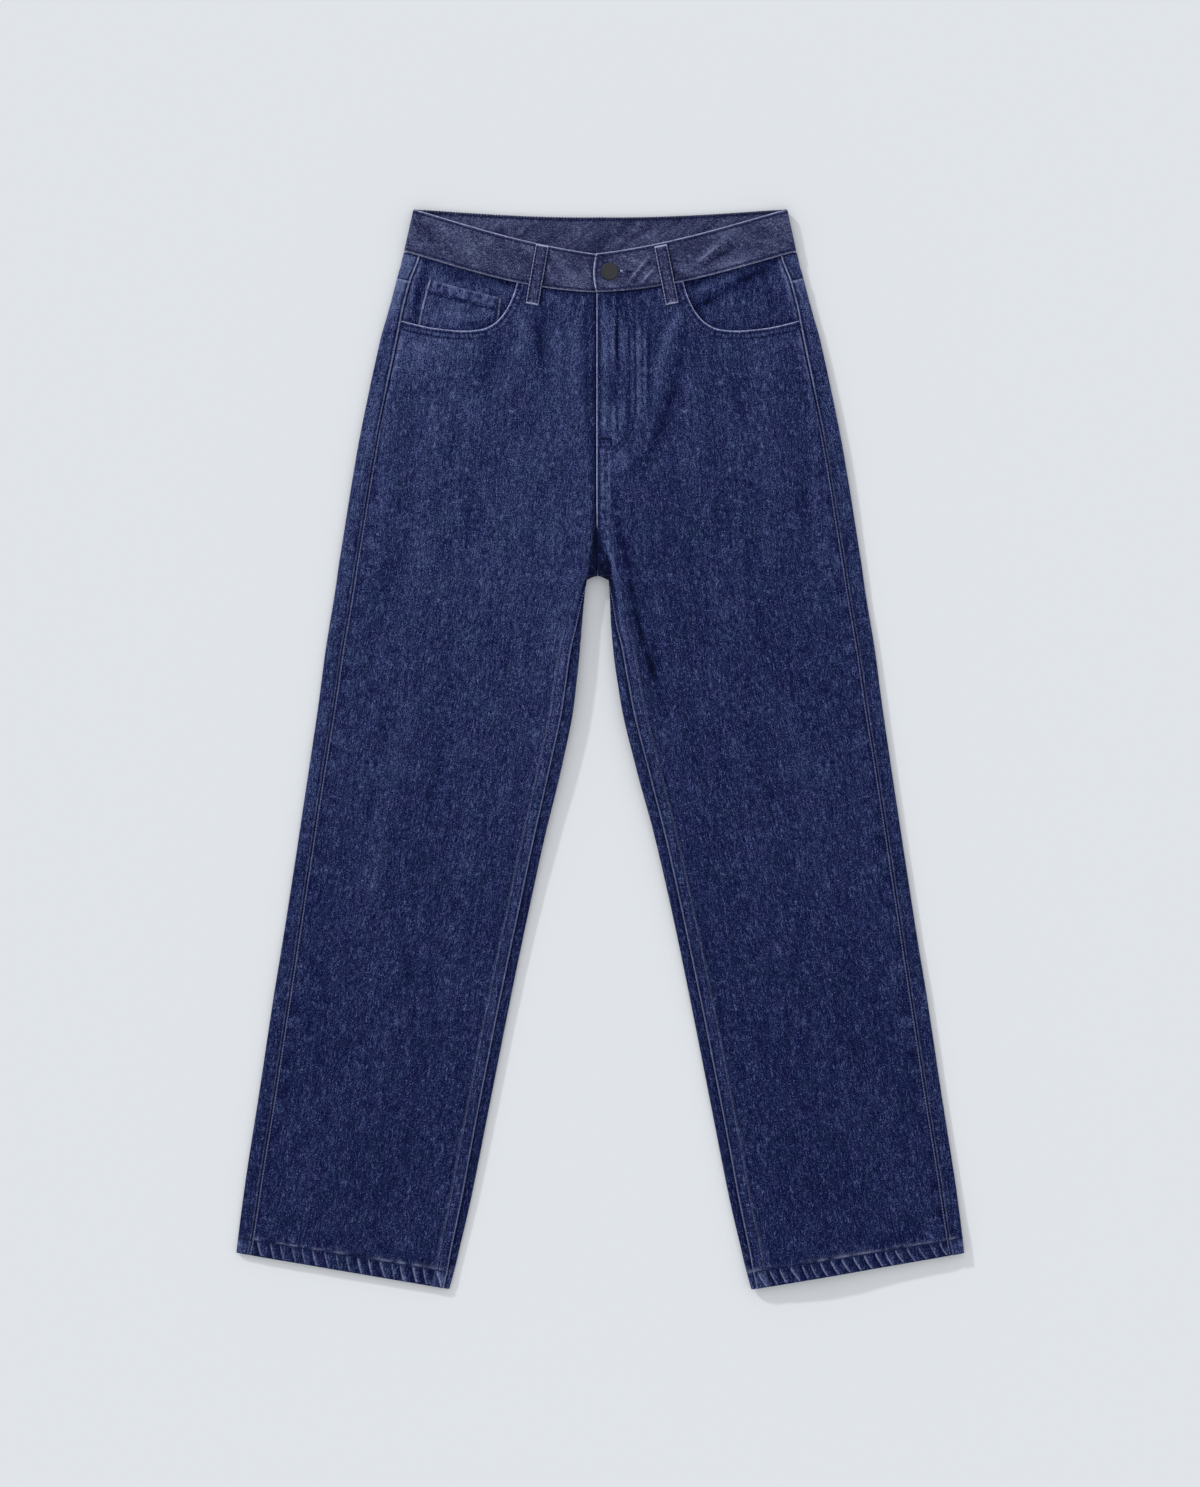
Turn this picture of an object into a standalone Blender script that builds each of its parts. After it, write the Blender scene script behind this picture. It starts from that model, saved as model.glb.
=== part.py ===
"""Straight leg jeans, laid flat on their back with the front up.

Units are metres. The garment lies on z = 0 with its waist towards +Y and its front towards +Z. "Right" and
"left" are the wearer's: the right side is at -X. Every cloth piece is a wall that follows one shared form.
The SECTIONS table gives the folded outline, and a loop of cloth is drawn through each of its rows.
"""

import math

import bmesh
import bpy
import numpy as np

# ---- Cloth and gaps
CLOTH = 0.0011
BAND_WALL = 0.0020
HEM_WALL = 0.0020
LOOP_WALL = 0.0013
SEAM_GAP = 0.0003

# ---- The form. One row for each section across the garment, from the waist to the hem, in millimetres.
# y_out, x_out: the side fold, as a half width. y_front, y_back: the same section at the centre, in the front
# and the back. half_gap: half the space between the legs. centre, centre_back: x of the centre seams.
# bow, bow_back: how far the section sags below a straight line. edge, middle: height of the top near a fold
# and in the middle. lift: height of the underside. out_seam: outseam's distance from the side fold.
# in_seam: inseam's distance over the cloth from the inner fold's crest; minus is under it.
COLUMNS = ("y_out", "x_out", "y_front", "y_back", "half_gap", "centre", "centre_back", "bow", "bow_back",
           "edge", "middle", "lift", "out_seam", "in_seam")
SECTIONS = {
    "band top":   ( 529.4, 183.3,  485.8,  521.6,     0, -4.1,    0, 4.2,   2,   6, 6.8, 1.4, 16.2,   -1),
    "waist seam": ( 487.3, 192.6,  447.6,  480.4,     0, -4.1,    0, 6.9,   2,   6, 6.8, 1.4, 16.2,   -1),
    "yoke seam":  ( 461.8, 199.3,  424.6,  413.8,     0, -4.1,    0, 5.9,   2,   6, 6.8, 1.4, 13.8,   -1),
    "hip 1":      ( 440.3, 204.8,    403,  394.2,     0, -4.1,    0, 4.4, 1.5,   6, 6.8, 1.4, 13.5,   -1),
    "hip 2":      ( 410.9, 213.2,  379.5,  371.7,     0, -4.1,    0, 2.9,   1,   6, 6.8, 1.4,   16,   -1),
    "hip 3":      ( 381.5, 220.5,    354,  347.2,     0, -4.1,    0, 1.5,   0,   6, 6.8, 1.4, 17.3,   -1),
    "seat 1":     ( 342.3, 228.8,  322.7,  315.8,     0, -4.1,    0, 0.5,   0,   6, 6.8, 1.4, 17.6,   -1),
    "seat 2":     ( 303.1, 236.7,  288.4,  283.5,     0, -4.1,    0,   0,   0,   6, 6.8, 1.4, 17.6,   -1),
    "seat 3":     ( 263.9, 243.5,  254.1,  251.1,     0, -4.1, -0.3,   0,   0, 5.8, 6.7, 1.4, 17.6,   -1),
    "fork 1":     ( 229.6,   249,  222.7,  220.7,     0, -3.9,   -1,   0,   0, 5.5, 6.5, 0.9, 17.6,   -1),
    "fork 2":     ( 200.2, 253.6,  195.3,  194.3,     0, -3.2, -1.9,   0,   0, 5.2, 6.3, 0.3, 17.5,   -1),
    "fork 3":     ( 179.6, 256.9,  175.7,  175.7,     0, -2.6, -2.4,   0,   0,   5, 6.2,   0, 17.4,   -1),
    "crotch":     ( 170.8, 258.1,  169.8,  169.8,     0, -2.3, -2.3,   0,   0,   5, 6.2,   0, 17.4,   -1),
    "leg 1":      ( 166.8, 258.6,  168.2,  168.2,   9.6, -2.3, -2.3,   0,   0,   5, 6.2,   0, 17.3,   -1),
    "leg 2":      (   158, 259.8,  159.5,  159.5,  11.4, -2.7, -2.7,   0,   0,   5, 6.2,   0, 17.2,  0.3),
    "leg 3":      ( 143.3, 262.1,  144.3,  144.3,  12.7, -3.2, -3.2,   0,   0,   5, 6.2,   0, 17.1,  2.7),
    "leg 4":      ( 121.8, 265.6,  120.8,  120.8,  14.2, -3.7, -3.7,   0,   0,   5, 6.2,   0, 16.9,  5.8),
    "leg 5":      (  97.3, 269.5,   94.3,   94.3,  16.5, -3.6, -3.6,   0,   0,   5, 6.2,   0, 16.5,  9.7),
    "leg 6":      (  48.3, 275.9,   42.4,   42.4,  23.1, -2.6, -2.6,   0,   0,   5, 6.2,   0, 15.8, 11.5),
    "leg 7":      ( -10.5, 284.6,  -19.4,  -19.4,  36.7, -1.4, -1.4,   0,   0,   5, 6.2,   0,   15,   12),
    "leg 8":      ( -79.1, 294.8,  -90.9,  -90.9,  54.8, -0.4, -0.4,   0,   0,   5, 6.2,   0, 14.4, 10.9),
    "leg 9":      (-157.5, 306.8, -173.2, -173.2,  73.2,    0,    0,   0,   0,   5, 6.2,   0, 14.5, 10.2),
    "leg 10":     (-245.7,   321, -266.3, -266.3,  92.2,    0,    0,   0,   0,   5, 6.2,   0, 15.4, 10.5),
    "leg 11":     (-333.9, 334.3, -358.4, -358.4, 110.3,    0,    0,   0,   0,   5, 6.2,   0, 15.2, 10.4),
    "leg 12":     (-422.1, 348.1, -451.5, -451.5, 128.9,    0,    0,   0,   0,   5, 6.2,   0, 14.8,  9.2),
    "leg 13":     (-459.4,   353, -492.2, -492.2, 138.4,    0,    0,   0,   0, 5.6, 6.6,   0, 14.2,  8.4),
    "hem top":    (  -478, 355.2, -512.3, -512.3, 143.4,    0,    0,   0,   0, 6.8, 7.8,   0, 13.5,  7.3),
    "hem edge":   (-493.7,   357, -529.4, -529.4,   148,    0,    0,   0,   0,   7, 7.8,   0, 12.5,  6.6),
}
MILLIMETRE = 0.001
ROW = {name: number for number, name in enumerate(SECTIONS)}
LAST = len(SECTIONS) - 1
# The sections at which the front and back legs have points, closer together where the outline curves most.
PANEL_ROWS = (*np.arange(ROW["waist seam"], ROW["hip 2"], 0.5), *range(ROW["hip 2"], ROW["leg 5"]),
              *np.arange(ROW["leg 5"], ROW["leg 8"], 0.5), *range(ROW["leg 8"], LAST + 1))
SHORTEST_STEP = 0.0225  # between the sections at which two pieces meet
BOW_SKEW = 1.3  # moves a section's lowest point towards the centre
EDGE_SLOPE = 0.025  # width over which the top rises from its edge height to its middle height
FORK_SLOPE = 0.012  # the same beside the crotch
CREST_FADE = 0.008  # width over which a crease fades out at a fold
VALLEY_TOP = 0.0029  # top of the cloth in the hollow between the legs, above the crotch
VALLEY_START_Y, VALLEY_END_Y = 0.250, 0.212  # where the hollow sinks to that depth
VALLEY_NARROW_Y, VALLEY_WIDE_Y = 0.225, 0.168  # where it widens to the gap between the legs

# ---- Points along one section of cloth
LONG_STEPS, SHORT_STEPS, ARC_STEPS = 160, 24, 14
NORMAL_REACH = 0.0002  # distance over which the cloth's slope is measured
FRONT_INNER_END = (0.0200, 0.0140, 0.0095, 0.0060, 0.0030, 0)  # from a front's inner end, round its fold
FRONT_MAIN_COUNT = 11
BACK_SIDE_FOLD = (0, 0.0125, 0.0145, 0.0165, 0.0185, 0.0210)  # from a back's outseam, round the side fold
BACK_INNER_FOLD = (0.0165, 0.0145, 0.0125, 0.0105, 0.0085, 0.0065, 0.0030, 0)  # from its inner end
BACK_MAIN_COUNT = 9

# ---- Waistband
BAND_ROWS = (0, 0.25, 0.5, 0.75, 1)
BAND_TOP = 0.0080
BAND_LIFT = 0.0014
BAND_STEPS = 180
LAP_X = -0.0044  # edge of the left end, which laps over the right end
TAB_X = 0.0280  # hidden tip of the right end, under the left one
TAB_TOP = 0.0057
TAB_CLEAR = 0.003  # the right end is fully down this far outside the lap's edge
TAB_DIP = 0.026  # width over which the right end dips below the left one
TAB_POINTS = (0, 0.012, 0.024, 0.030, 0.036, 0.042, 0.048, 0.054, 0.062)  # distances from the tab's tip
FOLD_REACH, FOLD_COUNT = 0.0075, 9  # points on each side of a side fold's crest
FOLD_SHIFT = 0.0015  # a path over a fold is this much shorter, to its crest, than its width
RIGHT_COUNT, BACK_COUNT, LEFT_COUNT = 8, 18, 13
LAP_STEP = 0.0010  # the right front lies this much lower beside the fly
LAP_FADE = 0.020

# ---- Main soft creases pressed into the top: start, end, width, depth
FOLDS = (
    ((0.0120, 0.2540), (0.0780, -0.0500), 0.011, 0.0020),
    ((0.0830, 0.3500), (0.0490, 0.2700), 0.012, 0.0014),
    ((0.2000, 0.3420), (0.1800, 0.2050), 0.012, 0.0014),
    ((-0.0690, 0.4000), (-0.0790, 0.2740), 0.012, 0.0010),
    ((-0.1766, 0.3600), (-0.1940, 0.2250), 0.012, 0.0012),
    ((-0.0480, 0.1400), (-0.0780, -0.0600), 0.013, 0.0014),
    ((0.1900, 0.0200), (0.2350, -0.2000), 0.016, 0.0012),
    ((-0.2050, -0.1000), (-0.2450, -0.3300), 0.016, 0.0012),
)
FOLD_BEGIN, FOLD_END = (-0.15, 0.25), (0.75, 1.15)  # where it deepens and fades, as shares of its length

# ---- Hip pockets, as half widths on each side
OPENING = ((0.0799, 0.4638), (0.0818, 0.4569), (0.0857, 0.4442), (0.0936, 0.4285), (0.1039, 0.4174),
           (0.1166, 0.4116), (0.1333, 0.4101), (0.1617, 0.4125), (0.1940, 0.4197), (0.2130, 0.4240))
OPENING_STEPS = 28
OPENING_CLEAR = 0.03  # how far the cutter runs past the cloth
OPENING_OVERRUN = 0.001
CUTTER_LOW, CUTTER_HIGH = -0.02, 0.03
FACING_INNER_X = 0.0700
FACING_DEEP = 0.0028  # how far the facing lies below the front's level at the opening
FACING_SHALLOW = 0.0004
FACING_LEVEL, FACING_RISE = 0.006, 0.030  # it stays deep this far from the edge, then rises over this width
FACING_ROWS = (1, 1.35, 1.7, 2.1, 2.5, 2.9, 3.3, 3.7, 4.1, 4.45)
FACING_COLUMNS = (0, 0.05, 0.104, 0.156, 0.235, 0.31, 0.39, 0.465, 0.545, 0.62, 0.70, 0.775, 0.85, 0.92, 1)
COIN_ROWS = (2, 8)  # the facing rows and columns that the coin pocket covers
COIN_COLUMNS = (3, 11)

# ---- Back pockets: outline of the right one from its top centre, and its place
BACK_POCKET = ((-0.070, 0.0), (0.070, 0.0), (0.066, -0.115), (0.0, -0.142), (-0.066, -0.115))
BACK_POCKET_CENTRE = (0.1080, 0.3960)
BACK_POCKET_TURN = math.radians(4)

# ---- Belt loops: x and y of the top and the bottom end, as seen from the front
LOOP_WIDTH = 0.0125
FRONT_LOOPS = {
    "belt_loop_front_right": ((-0.0566, 0.4940), (-0.0669, 0.4359)),
    "belt_loop_front_left": ((0.0590, 0.4935), (0.0705, 0.4363)),
}
BACK_LOOPS = {
    "belt_loop_side_right": ((-0.1120, 0.5240), (-0.1150, 0.4640)),
    "belt_loop_back": ((0.0, 0.5210), (0.0, 0.4610)),
    "belt_loop_side_left": ((0.1120, 0.5240), (0.1150, 0.4640)),
}
BACK_LOOP_WALL = 0.0011
LOOP_STEPS = (0, 0.12, 0.3, 0.5, 0.64, 0.74, 0.84, 0.94, 1)
LOOP_COLUMNS = (-1, -0.4, 0.4, 1)
LOOP_RISE = 0.0006  # how far the middle of a loop stands off the band
LOOP_STEP_DOWN = (0.72, 0.90)  # where it comes down from the band to the front, as a share of its length

# ---- Button and buttonhole
BUTTON_CENTRE = (0.0093, 0.4680)
BUTTON_RADIUS = 0.0084
BUTTON_THICK = 0.0022
BUTTON_FOOT_BEVEL, BUTTON_RIM_BEVEL, BUTTON_RIM, BUTTON_DISH = 0.0006, 0.0009, 0.0020, 0.0002
BUTTON_SIDES = 32
SHANK_RADIUS = 0.0016
HOLE_RADIUS = 0.0021
HOLE_END_X = 0.0321
HOLE_SLIT = 0.0012
HOLE_MOUTH = math.radians(20)  # half the angle that the slit takes out of the eyelet
HOLE_SIDES = 17
HOLE_CLEAR = 0.00015

# ---- Fly zip, under the front's edge
ZIP_HALF_WIDTH = 0.013
ZIP_TOP_Y, ZIP_LENGTH = 0.4440, 0.145
ZIP_TOP, ZIP_WALL = 0.0044, 0.0011
SLIDER_WIDTH, SLIDER_LENGTH, SLIDER_RISE = 0.0070, 0.0110, 0.0006
SLIDER_DOWN = 0.004  # from the tape's top

# ---- Materials: name, colour, roughness, metallic
DENIM = ("denim", (0.022, 0.030, 0.085), 0.9, 0.0)
BAND_DENIM = ("denim_light", (0.045, 0.055, 0.125), 0.9, 0.0)
METAL = ("button_metal", (0.030, 0.030, 0.034), 0.45, 0.9)
TAPE = ("zip_tape", (0.020, 0.024, 0.050), 0.9, 0.0)
SMOOTH_ANGLE = math.radians(40)

SIDES = (("right", -1), ("left", 1))
QUARTER = math.pi / 2


# ---- Reading the table

def smooth_column(values):
    """A monotone cubic through one column, as a function of the row number."""
    values = np.asarray(values, float)
    steps = np.diff(values)
    slopes = np.zeros_like(values)
    before, after = steps[:-1], steps[1:]
    same_way = before * after > 0
    slopes[1:-1][same_way] = 2 * (before * after)[same_way] / (before + after)[same_way]
    slopes[0], slopes[-1] = steps[0], steps[-1]

    def at(row):
        row = np.clip(np.asarray(row, float), 0, len(values) - 1)
        first = np.minimum(row.astype(int), len(values) - 2)
        t = row - first
        rise = t * t * (3 - 2 * t)
        return (values[first] + rise * steps[first] + t * (1 - t) ** 2 * slopes[first]
                - t * t * (1 - t) * slopes[first + 1])

    return at


FORM = {name: smooth_column([row[i] * MILLIMETRE for row in SECTIONS.values()])
        for i, name in enumerate(COLUMNS)}


def smooth_step(low, high, value):
    t = np.clip((value - low) / (high - low), 0, 1)
    return t * t * (3 - 2 * t)


def section_y(row, x, front):
    """y of a section at x, on the front layer or the back layer."""
    form = {name: FORM[name](row) for name in COLUMNS}
    centre = form["centre" if front else "centre_back"]
    side = np.where(x < centre, -1.0, 1.0)
    inner_x = centre + side * form["half_gap"]
    share = np.clip((side * form["x_out"] - x) / (side * form["x_out"] - inner_x), 0, 1)
    y_inner = form["y_front" if front else "y_back"]
    bow = form["bow" if front else "bow_back"]
    skewed = share ** BOW_SKEW
    return form["y_out"] + (y_inner - form["y_out"]) * share - bow * 4 * skewed * (1 - skewed)


def row_at(x, y, front):
    """The row number of the section that passes through each point."""
    low, high = np.zeros_like(x), np.full_like(x, LAST)
    for _ in range(40):
        middle = (low + high) / 2
        above = section_y(middle, x, front) > y
        low = np.where(above, middle, low)
        high = np.where(above, high, middle)
    return (low + high) / 2


def fold_depth(x, y):
    """How far the soft creases press the top down."""
    depth = np.zeros_like(x)
    for (x0, y0), (x1, y1), width, deep in FOLDS:
        length = math.hypot(x1 - x0, y1 - y0)
        along = ((x - x0) * (x1 - x0) + (y - y0) * (y1 - y0)) / length ** 2
        across = ((x - x0) * (y1 - y0) - (y - y0) * (x1 - x0)) / length
        ends = smooth_step(*FOLD_BEGIN, along) * (1 - smooth_step(*FOLD_END, along))
        depth += deep * ends * np.exp(-(across / width) ** 2)
    return depth


def top_height(row, x, y):
    """Height of the outside of the top layer, away from its folded edges."""
    form = {name: FORM[name](row) for name in ("x_out", "half_gap", "centre", "edge", "middle", "lift")}
    radius = (form["edge"] - form["lift"]) / 2
    from_fold = form["x_out"] - np.abs(x)
    from_centre = np.abs(x - form["centre"])
    rise = smooth_step(0, EDGE_SLOPE, from_fold - radius)
    fade = smooth_step(0, CREST_FADE, from_fold - radius)
    in_leg = form["half_gap"] > 0
    from_inner = from_centre - form["half_gap"] - radius
    slope = FORK_SLOPE + (EDGE_SLOPE - FORK_SLOPE) * smooth_step(ROW["leg 1"], ROW["leg 5"], row)
    rise = np.where(in_leg, np.minimum(rise, smooth_step(0, slope, from_inner)), rise)
    fade = np.where(in_leg, np.minimum(fade, smooth_step(0, CREST_FADE, from_inner)), fade)
    height = form["edge"] + (form["middle"] - form["edge"]) * rise - fold_depth(x, y) * fade
    # The hollow above the crotch, between the tops of the legs.
    deep = smooth_step(VALLEY_START_Y, VALLEY_END_Y, y)
    hollow = FORM["half_gap"](ROW["leg 1"]) * smooth_step(VALLEY_NARROW_Y, VALLEY_WIDE_Y, y)
    bank = smooth_step(0, FORK_SLOPE, from_centre - hollow)
    height = np.where(in_leg, height, height - (height - VALLEY_TOP) * deep * (1 - bank))
    # The fly: the right front lies lower beside its edge.
    beside = (1 - smooth_step(0, LAP_FADE, from_centre)) * (1 - deep)
    return height - np.where((x < form["centre"]) & ~in_leg, LAP_STEP * beside, 0)


# ---- Paths of cloth around one section, as arrays of x, y, z

class Section:
    """One side of one section, with the stretches that its paths are made of."""

    def __init__(self, row, side):
        form = {name: float(FORM[name](row)) for name in COLUMNS}
        self.row, self.side = row, side
        self.lift = form["lift"]
        self.radius = (form["edge"] - form["lift"]) / 2
        self.z_middle = (form["edge"] + form["lift"]) / 2
        self.outer = side * form["x_out"]
        self.seam_x = self.outer - side * form["out_seam"]
        self.in_leg = form["half_gap"] > 0
        self.inner = form["centre"] + side * form["half_gap"]
        self.centre_back = form["centre_back"]
        self.turn = form["in_seam"] / self.radius  # angle of the inseam on the inner fold
        self.strip = form["in_seam"] - self.radius * QUARTER + self.radius  # its distance from the inner fold
        self.seam_on_top = self.in_leg and self.turn > QUARTER

    def top(self, x_from, x_to, steps):
        x = np.linspace(x_from, x_to, steps)
        y = section_y(self.row, x, True)
        return x, y, top_height(np.full_like(x, self.row), x, y)

    def under(self, x_from, x_to):
        x = np.linspace(x_from, x_to, LONG_STEPS)
        return x, section_y(self.row, x, False), np.full_like(x, self.lift)

    def fold(self, x_crest, way, start, end, front):
        x, z = arc(x_crest, way * self.radius, self.radius, self.z_middle, start, end)
        return x, section_y(self.row, x, front), z

    def front_path(self):
        """The outside of the front's cloth, from the outseam inwards."""
        start = self.seam_x - self.side * SEAM_GAP / 2
        if self.seam_on_top:
            return joined(self.top(start, self.inner + self.side * (self.strip + SEAM_GAP / 2), LONG_STEPS))
        if not self.in_leg:
            return joined(self.top(start, self.inner + self.side * SEAM_GAP / 2, LONG_STEPS))
        gap_turn = SEAM_GAP / 2 / self.radius
        return joined(
            self.top(start, self.inner + self.side * self.radius, LONG_STEPS),
            self.fold(self.inner, self.side, QUARTER, self.turn + gap_turn, True))

    def back_path(self):
        """The outside of the back's cloth, from the outseam outwards and under the whole side."""
        inward = -self.side
        parts = [
            self.top(self.seam_x + self.side * SEAM_GAP / 2, self.outer + inward * self.radius, SHORT_STEPS),
            self.fold(self.outer, inward, QUARTER, 0, True),
            self.fold(self.outer, inward, 0, -QUARTER, False)]
        if not self.in_leg:
            parts.append(self.under(self.outer + inward * self.radius,
                                    self.centre_back + self.side * SEAM_GAP / 2))
            return joined(*parts)
        crest = self.inner + self.side * self.radius
        gap_turn = SEAM_GAP / 2 / self.radius
        parts.append(self.under(self.outer + inward * self.radius, crest))
        parts.append(self.fold(self.inner, self.side, -QUARTER, min(self.turn, QUARTER) - gap_turn, False))
        if self.seam_on_top:
            parts.append(self.top(crest, self.inner + self.side * (self.strip - SEAM_GAP / 2), SHORT_STEPS))
        return joined(*parts)


def arc(x_crest, inward, radius, z_middle, start, end):
    """Part of a fold's half circle; angle 0 is its crest and a quarter turn its top."""
    angles = np.linspace(start, end, ARC_STEPS)
    return x_crest + inward * (1 - np.cos(angles)), z_middle + radius * np.sin(angles)


def joined(*parts):
    return np.array([np.concatenate([part[i] for part in parts]) for i in range(3)]).T


def sampled(path, distances):
    """Points and unit normals at distances along a path, which distances() gives for its whole length."""
    moved = np.hypot(np.diff(path[:, 0]), np.diff(path[:, 2]))
    path = path[np.concatenate([[True], moved > NORMAL_REACH / 1000])]
    along = np.concatenate([[0], np.cumsum(np.hypot(np.diff(path[:, 0]), np.diff(path[:, 2])))])
    at = distances(along[-1])
    points = np.array([np.interp(at, along, path[:, i]) for i in range(3)]).T
    ahead = np.minimum(at + NORMAL_REACH, along[-1])
    behind = np.maximum(at - NORMAL_REACH, 0)
    run = np.interp(ahead, along, path[:, 0]) - np.interp(behind, along, path[:, 0])
    climb = np.interp(ahead, along, path[:, 2]) - np.interp(behind, along, path[:, 2])
    length = np.hypot(run, climb)
    normals = np.array([-climb / length, np.zeros_like(run), run / length]).T
    return points, normals


# ---- Meshes

def material_of(look):
    name, colour, roughness, metallic = look
    material = bpy.data.materials.get(name) or bpy.data.materials.new(name)
    material.use_nodes = True
    shader = material.node_tree.nodes["Principled BSDF"]
    shader.inputs["Base Color"].default_value = (*colour, 1)
    shader.inputs["Roughness"].default_value = roughness
    shader.inputs["Metallic"].default_value = metallic
    return material


def add_object(name, vertices, faces, look, smooth=True):
    mesh = bpy.data.meshes.new(name)
    mesh.from_pydata([tuple(v) for v in vertices], [], [tuple(f) for f in faces])
    shape = bmesh.new()
    shape.from_mesh(mesh)
    bmesh.ops.recalc_face_normals(shape, faces=shape.faces)
    shape.to_mesh(mesh)
    shape.free()
    if smooth:
        mesh.shade_smooth()
        mesh.set_sharp_from_angle(angle=SMOOTH_ANGLE)
    mesh.materials.append(material_of(look))
    made = bpy.data.objects.new(name, mesh)
    bpy.context.scene.collection.objects.link(made)
    return made


def wall(name, outside, inside, look):
    """A closed wall between two grids of points: rows by columns by 3."""
    rows, columns = outside.shape[:2]
    vertices = np.concatenate([outside.reshape(-1, 3), inside.reshape(-1, 3)])
    back = rows * columns
    faces = []
    for r in range(rows - 1):
        for c in range(columns - 1):
            a, b = r * columns + c, r * columns + c + 1
            d, e = b + columns, a + columns
            faces.append((a, b, d, e))
            faces.append((back + e, back + d, back + b, back + a))
    rim = ([c for c in range(columns)]
           + [r * columns + columns - 1 for r in range(1, rows)]
           + [(rows - 1) * columns + c for c in range(columns - 2, -1, -1)]
           + [r * columns for r in range(rows - 2, 0, -1)])
    for here, following in zip(rim, rim[1:] + rim[:1]):
        faces.append((here, back + here, back + following, following))
    return add_object(name, vertices, faces, look)


def prism(name, outline, low, high, look):
    count = len(outline)
    vertices = [(x, y, low) for x, y in outline] + [(x, y, high) for x, y in outline]
    faces = [tuple(range(count))[::-1], tuple(range(count, 2 * count))]
    faces += [(i, (i + 1) % count, count + (i + 1) % count, count + i) for i in range(count)]
    return add_object(name, vertices, faces, look, smooth=False)


def rectangle(x_low, x_high, y_low, y_high):
    return [(x_low, y_low), (x_high, y_low), (x_high, y_high), (x_low, y_high)]


def combine(target, other, operation):
    """Cut another solid from the target, or join it on."""
    other.hide_render = True
    other.display_type = "WIRE"
    modifier = target.modifiers.new(other.name, "BOOLEAN")
    modifier.operation = operation
    modifier.object = other


def lowered(points, distance):
    return points - np.array([0, 0, distance])


# ---- Front and back legs, and the yokes

def leg_wall(row):
    """Thickness of the leg's cloth: doubled where the hem is turned in."""
    return CLOTH + (HEM_WALL - CLOTH) * float(smooth_step(ROW["leg 13"], ROW["hem top"], np.float64(row)))


def seam_rows(rows, start_gap, end_gap):
    """Row numbers with half a seam gap taken off each end that meets another piece."""
    rows = list(rows)
    if start_gap:
        rows[0] += SEAM_GAP / 2 / SHORTEST_STEP
    if end_gap:
        rows[-1] -= SEAM_GAP / 2 / SHORTEST_STEP
    return rows


def panel(name, side, front, rows):
    outside, inside = [], []
    for row in rows:
        section = Section(row, side)
        if front:
            points, normals = sampled(section.front_path(), front_spacing)
            outward = -side
        else:
            points, normals = sampled(section.back_path(), back_spacing)
            outward = side
        outside.append(points)
        inside.append(points - normals * outward * leg_wall(row))
    return wall(name, np.array(outside), np.array(inside), DENIM)


def front_spacing(total):
    """Closer at the inner end, which turns round the inner fold near the crotch."""
    main = np.linspace(0, total - FRONT_INNER_END[0], FRONT_MAIN_COUNT)[:-1]
    return np.concatenate([main, total - np.array(FRONT_INNER_END)])


def back_spacing(total):
    """Closer around the side fold and around the inner fold."""
    main = np.linspace(BACK_SIDE_FOLD[-1], total - BACK_INNER_FOLD[0], BACK_MAIN_COUNT)[1:-1]
    return np.concatenate([BACK_SIDE_FOLD, main, total - np.array(BACK_INNER_FOLD)])


def front_panels():
    for name, side in SIDES:
        made = panel(f"front_{name}", side, True, seam_rows(PANEL_ROWS, True, False))
        combine(made, pocket_cutter(name, side), "DIFFERENCE")


def back_panels():
    yoke_rows = [row for row in PANEL_ROWS if row <= ROW["yoke seam"]]
    leg_rows = [row for row in PANEL_ROWS if row >= ROW["yoke seam"]]
    for name, side in SIDES:
        panel(f"yoke_{name}", side, False, seam_rows(yoke_rows, True, True))
        panel(f"back_{name}", side, False, seam_rows(leg_rows, True, False))


# ---- Pockets

def opening_curve():
    """The pocket opening's edge as a dense smooth curve of half widths and y."""
    points = np.array(OPENING)
    at = np.linspace(0, len(points) - 1, OPENING_STEPS)
    return smooth_column(points[:, 0])(at), smooth_column(points[:, 1])(at)


def pocket_cutter(name, side):
    """A prism over the part of the front that the pocket opening leaves out."""
    curve_x, curve_y = opening_curve()
    far_x, far_y = curve_x[-1] + OPENING_CLEAR, curve_y[0] + OPENING_CLEAR
    outline = [*zip(curve_x, curve_y), (far_x, curve_y[-1]), (far_x, far_y),
               (curve_x[0] - OPENING_OVERRUN, far_y)]
    mirrored = [(side * x, y) for x, y in outline]
    return prism(f"opening_cutter_{name}", mirrored, CUTTER_LOW, CUTTER_HIGH, DENIM)


def facing_depth(x, y):
    """How far the facing lies below the front's level: deep under the opening's edge, rising away from it."""
    curve_x, curve_y = opening_curve()
    half = np.abs(x)
    away = np.sqrt(((half[..., None] - curve_x) ** 2 + (y[..., None] - curve_y) ** 2).min(axis=-1))
    inside = (half > curve_x[0]) & (y > np.interp(half, curve_x, curve_y))
    rise = np.where(inside, smooth_step(FACING_LEVEL, FACING_LEVEL + FACING_RISE, away), 0)
    return FACING_DEEP + (FACING_SHALLOW - FACING_DEEP) * rise


def facing_grid(side):
    """Points on top of a pocket facing."""
    points = []
    for row in seam_rows(FACING_ROWS, True, False):
        outer = side * (float(FORM["x_out"](row)) - float(FORM["out_seam"](row)) - SEAM_GAP / 2)
        x = outer + (side * FACING_INNER_X - outer) * np.array(FACING_COLUMNS)
        y = section_y(row, x, True)
        z = top_height(np.full_like(x, row), x, y) - facing_depth(x, y)
        lowest = float(FORM["lift"](row)) + 2 * CLOTH + SEAM_GAP
        points.append(np.array([x, y, np.maximum(z, lowest)]).T)
    return np.array(points)


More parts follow.
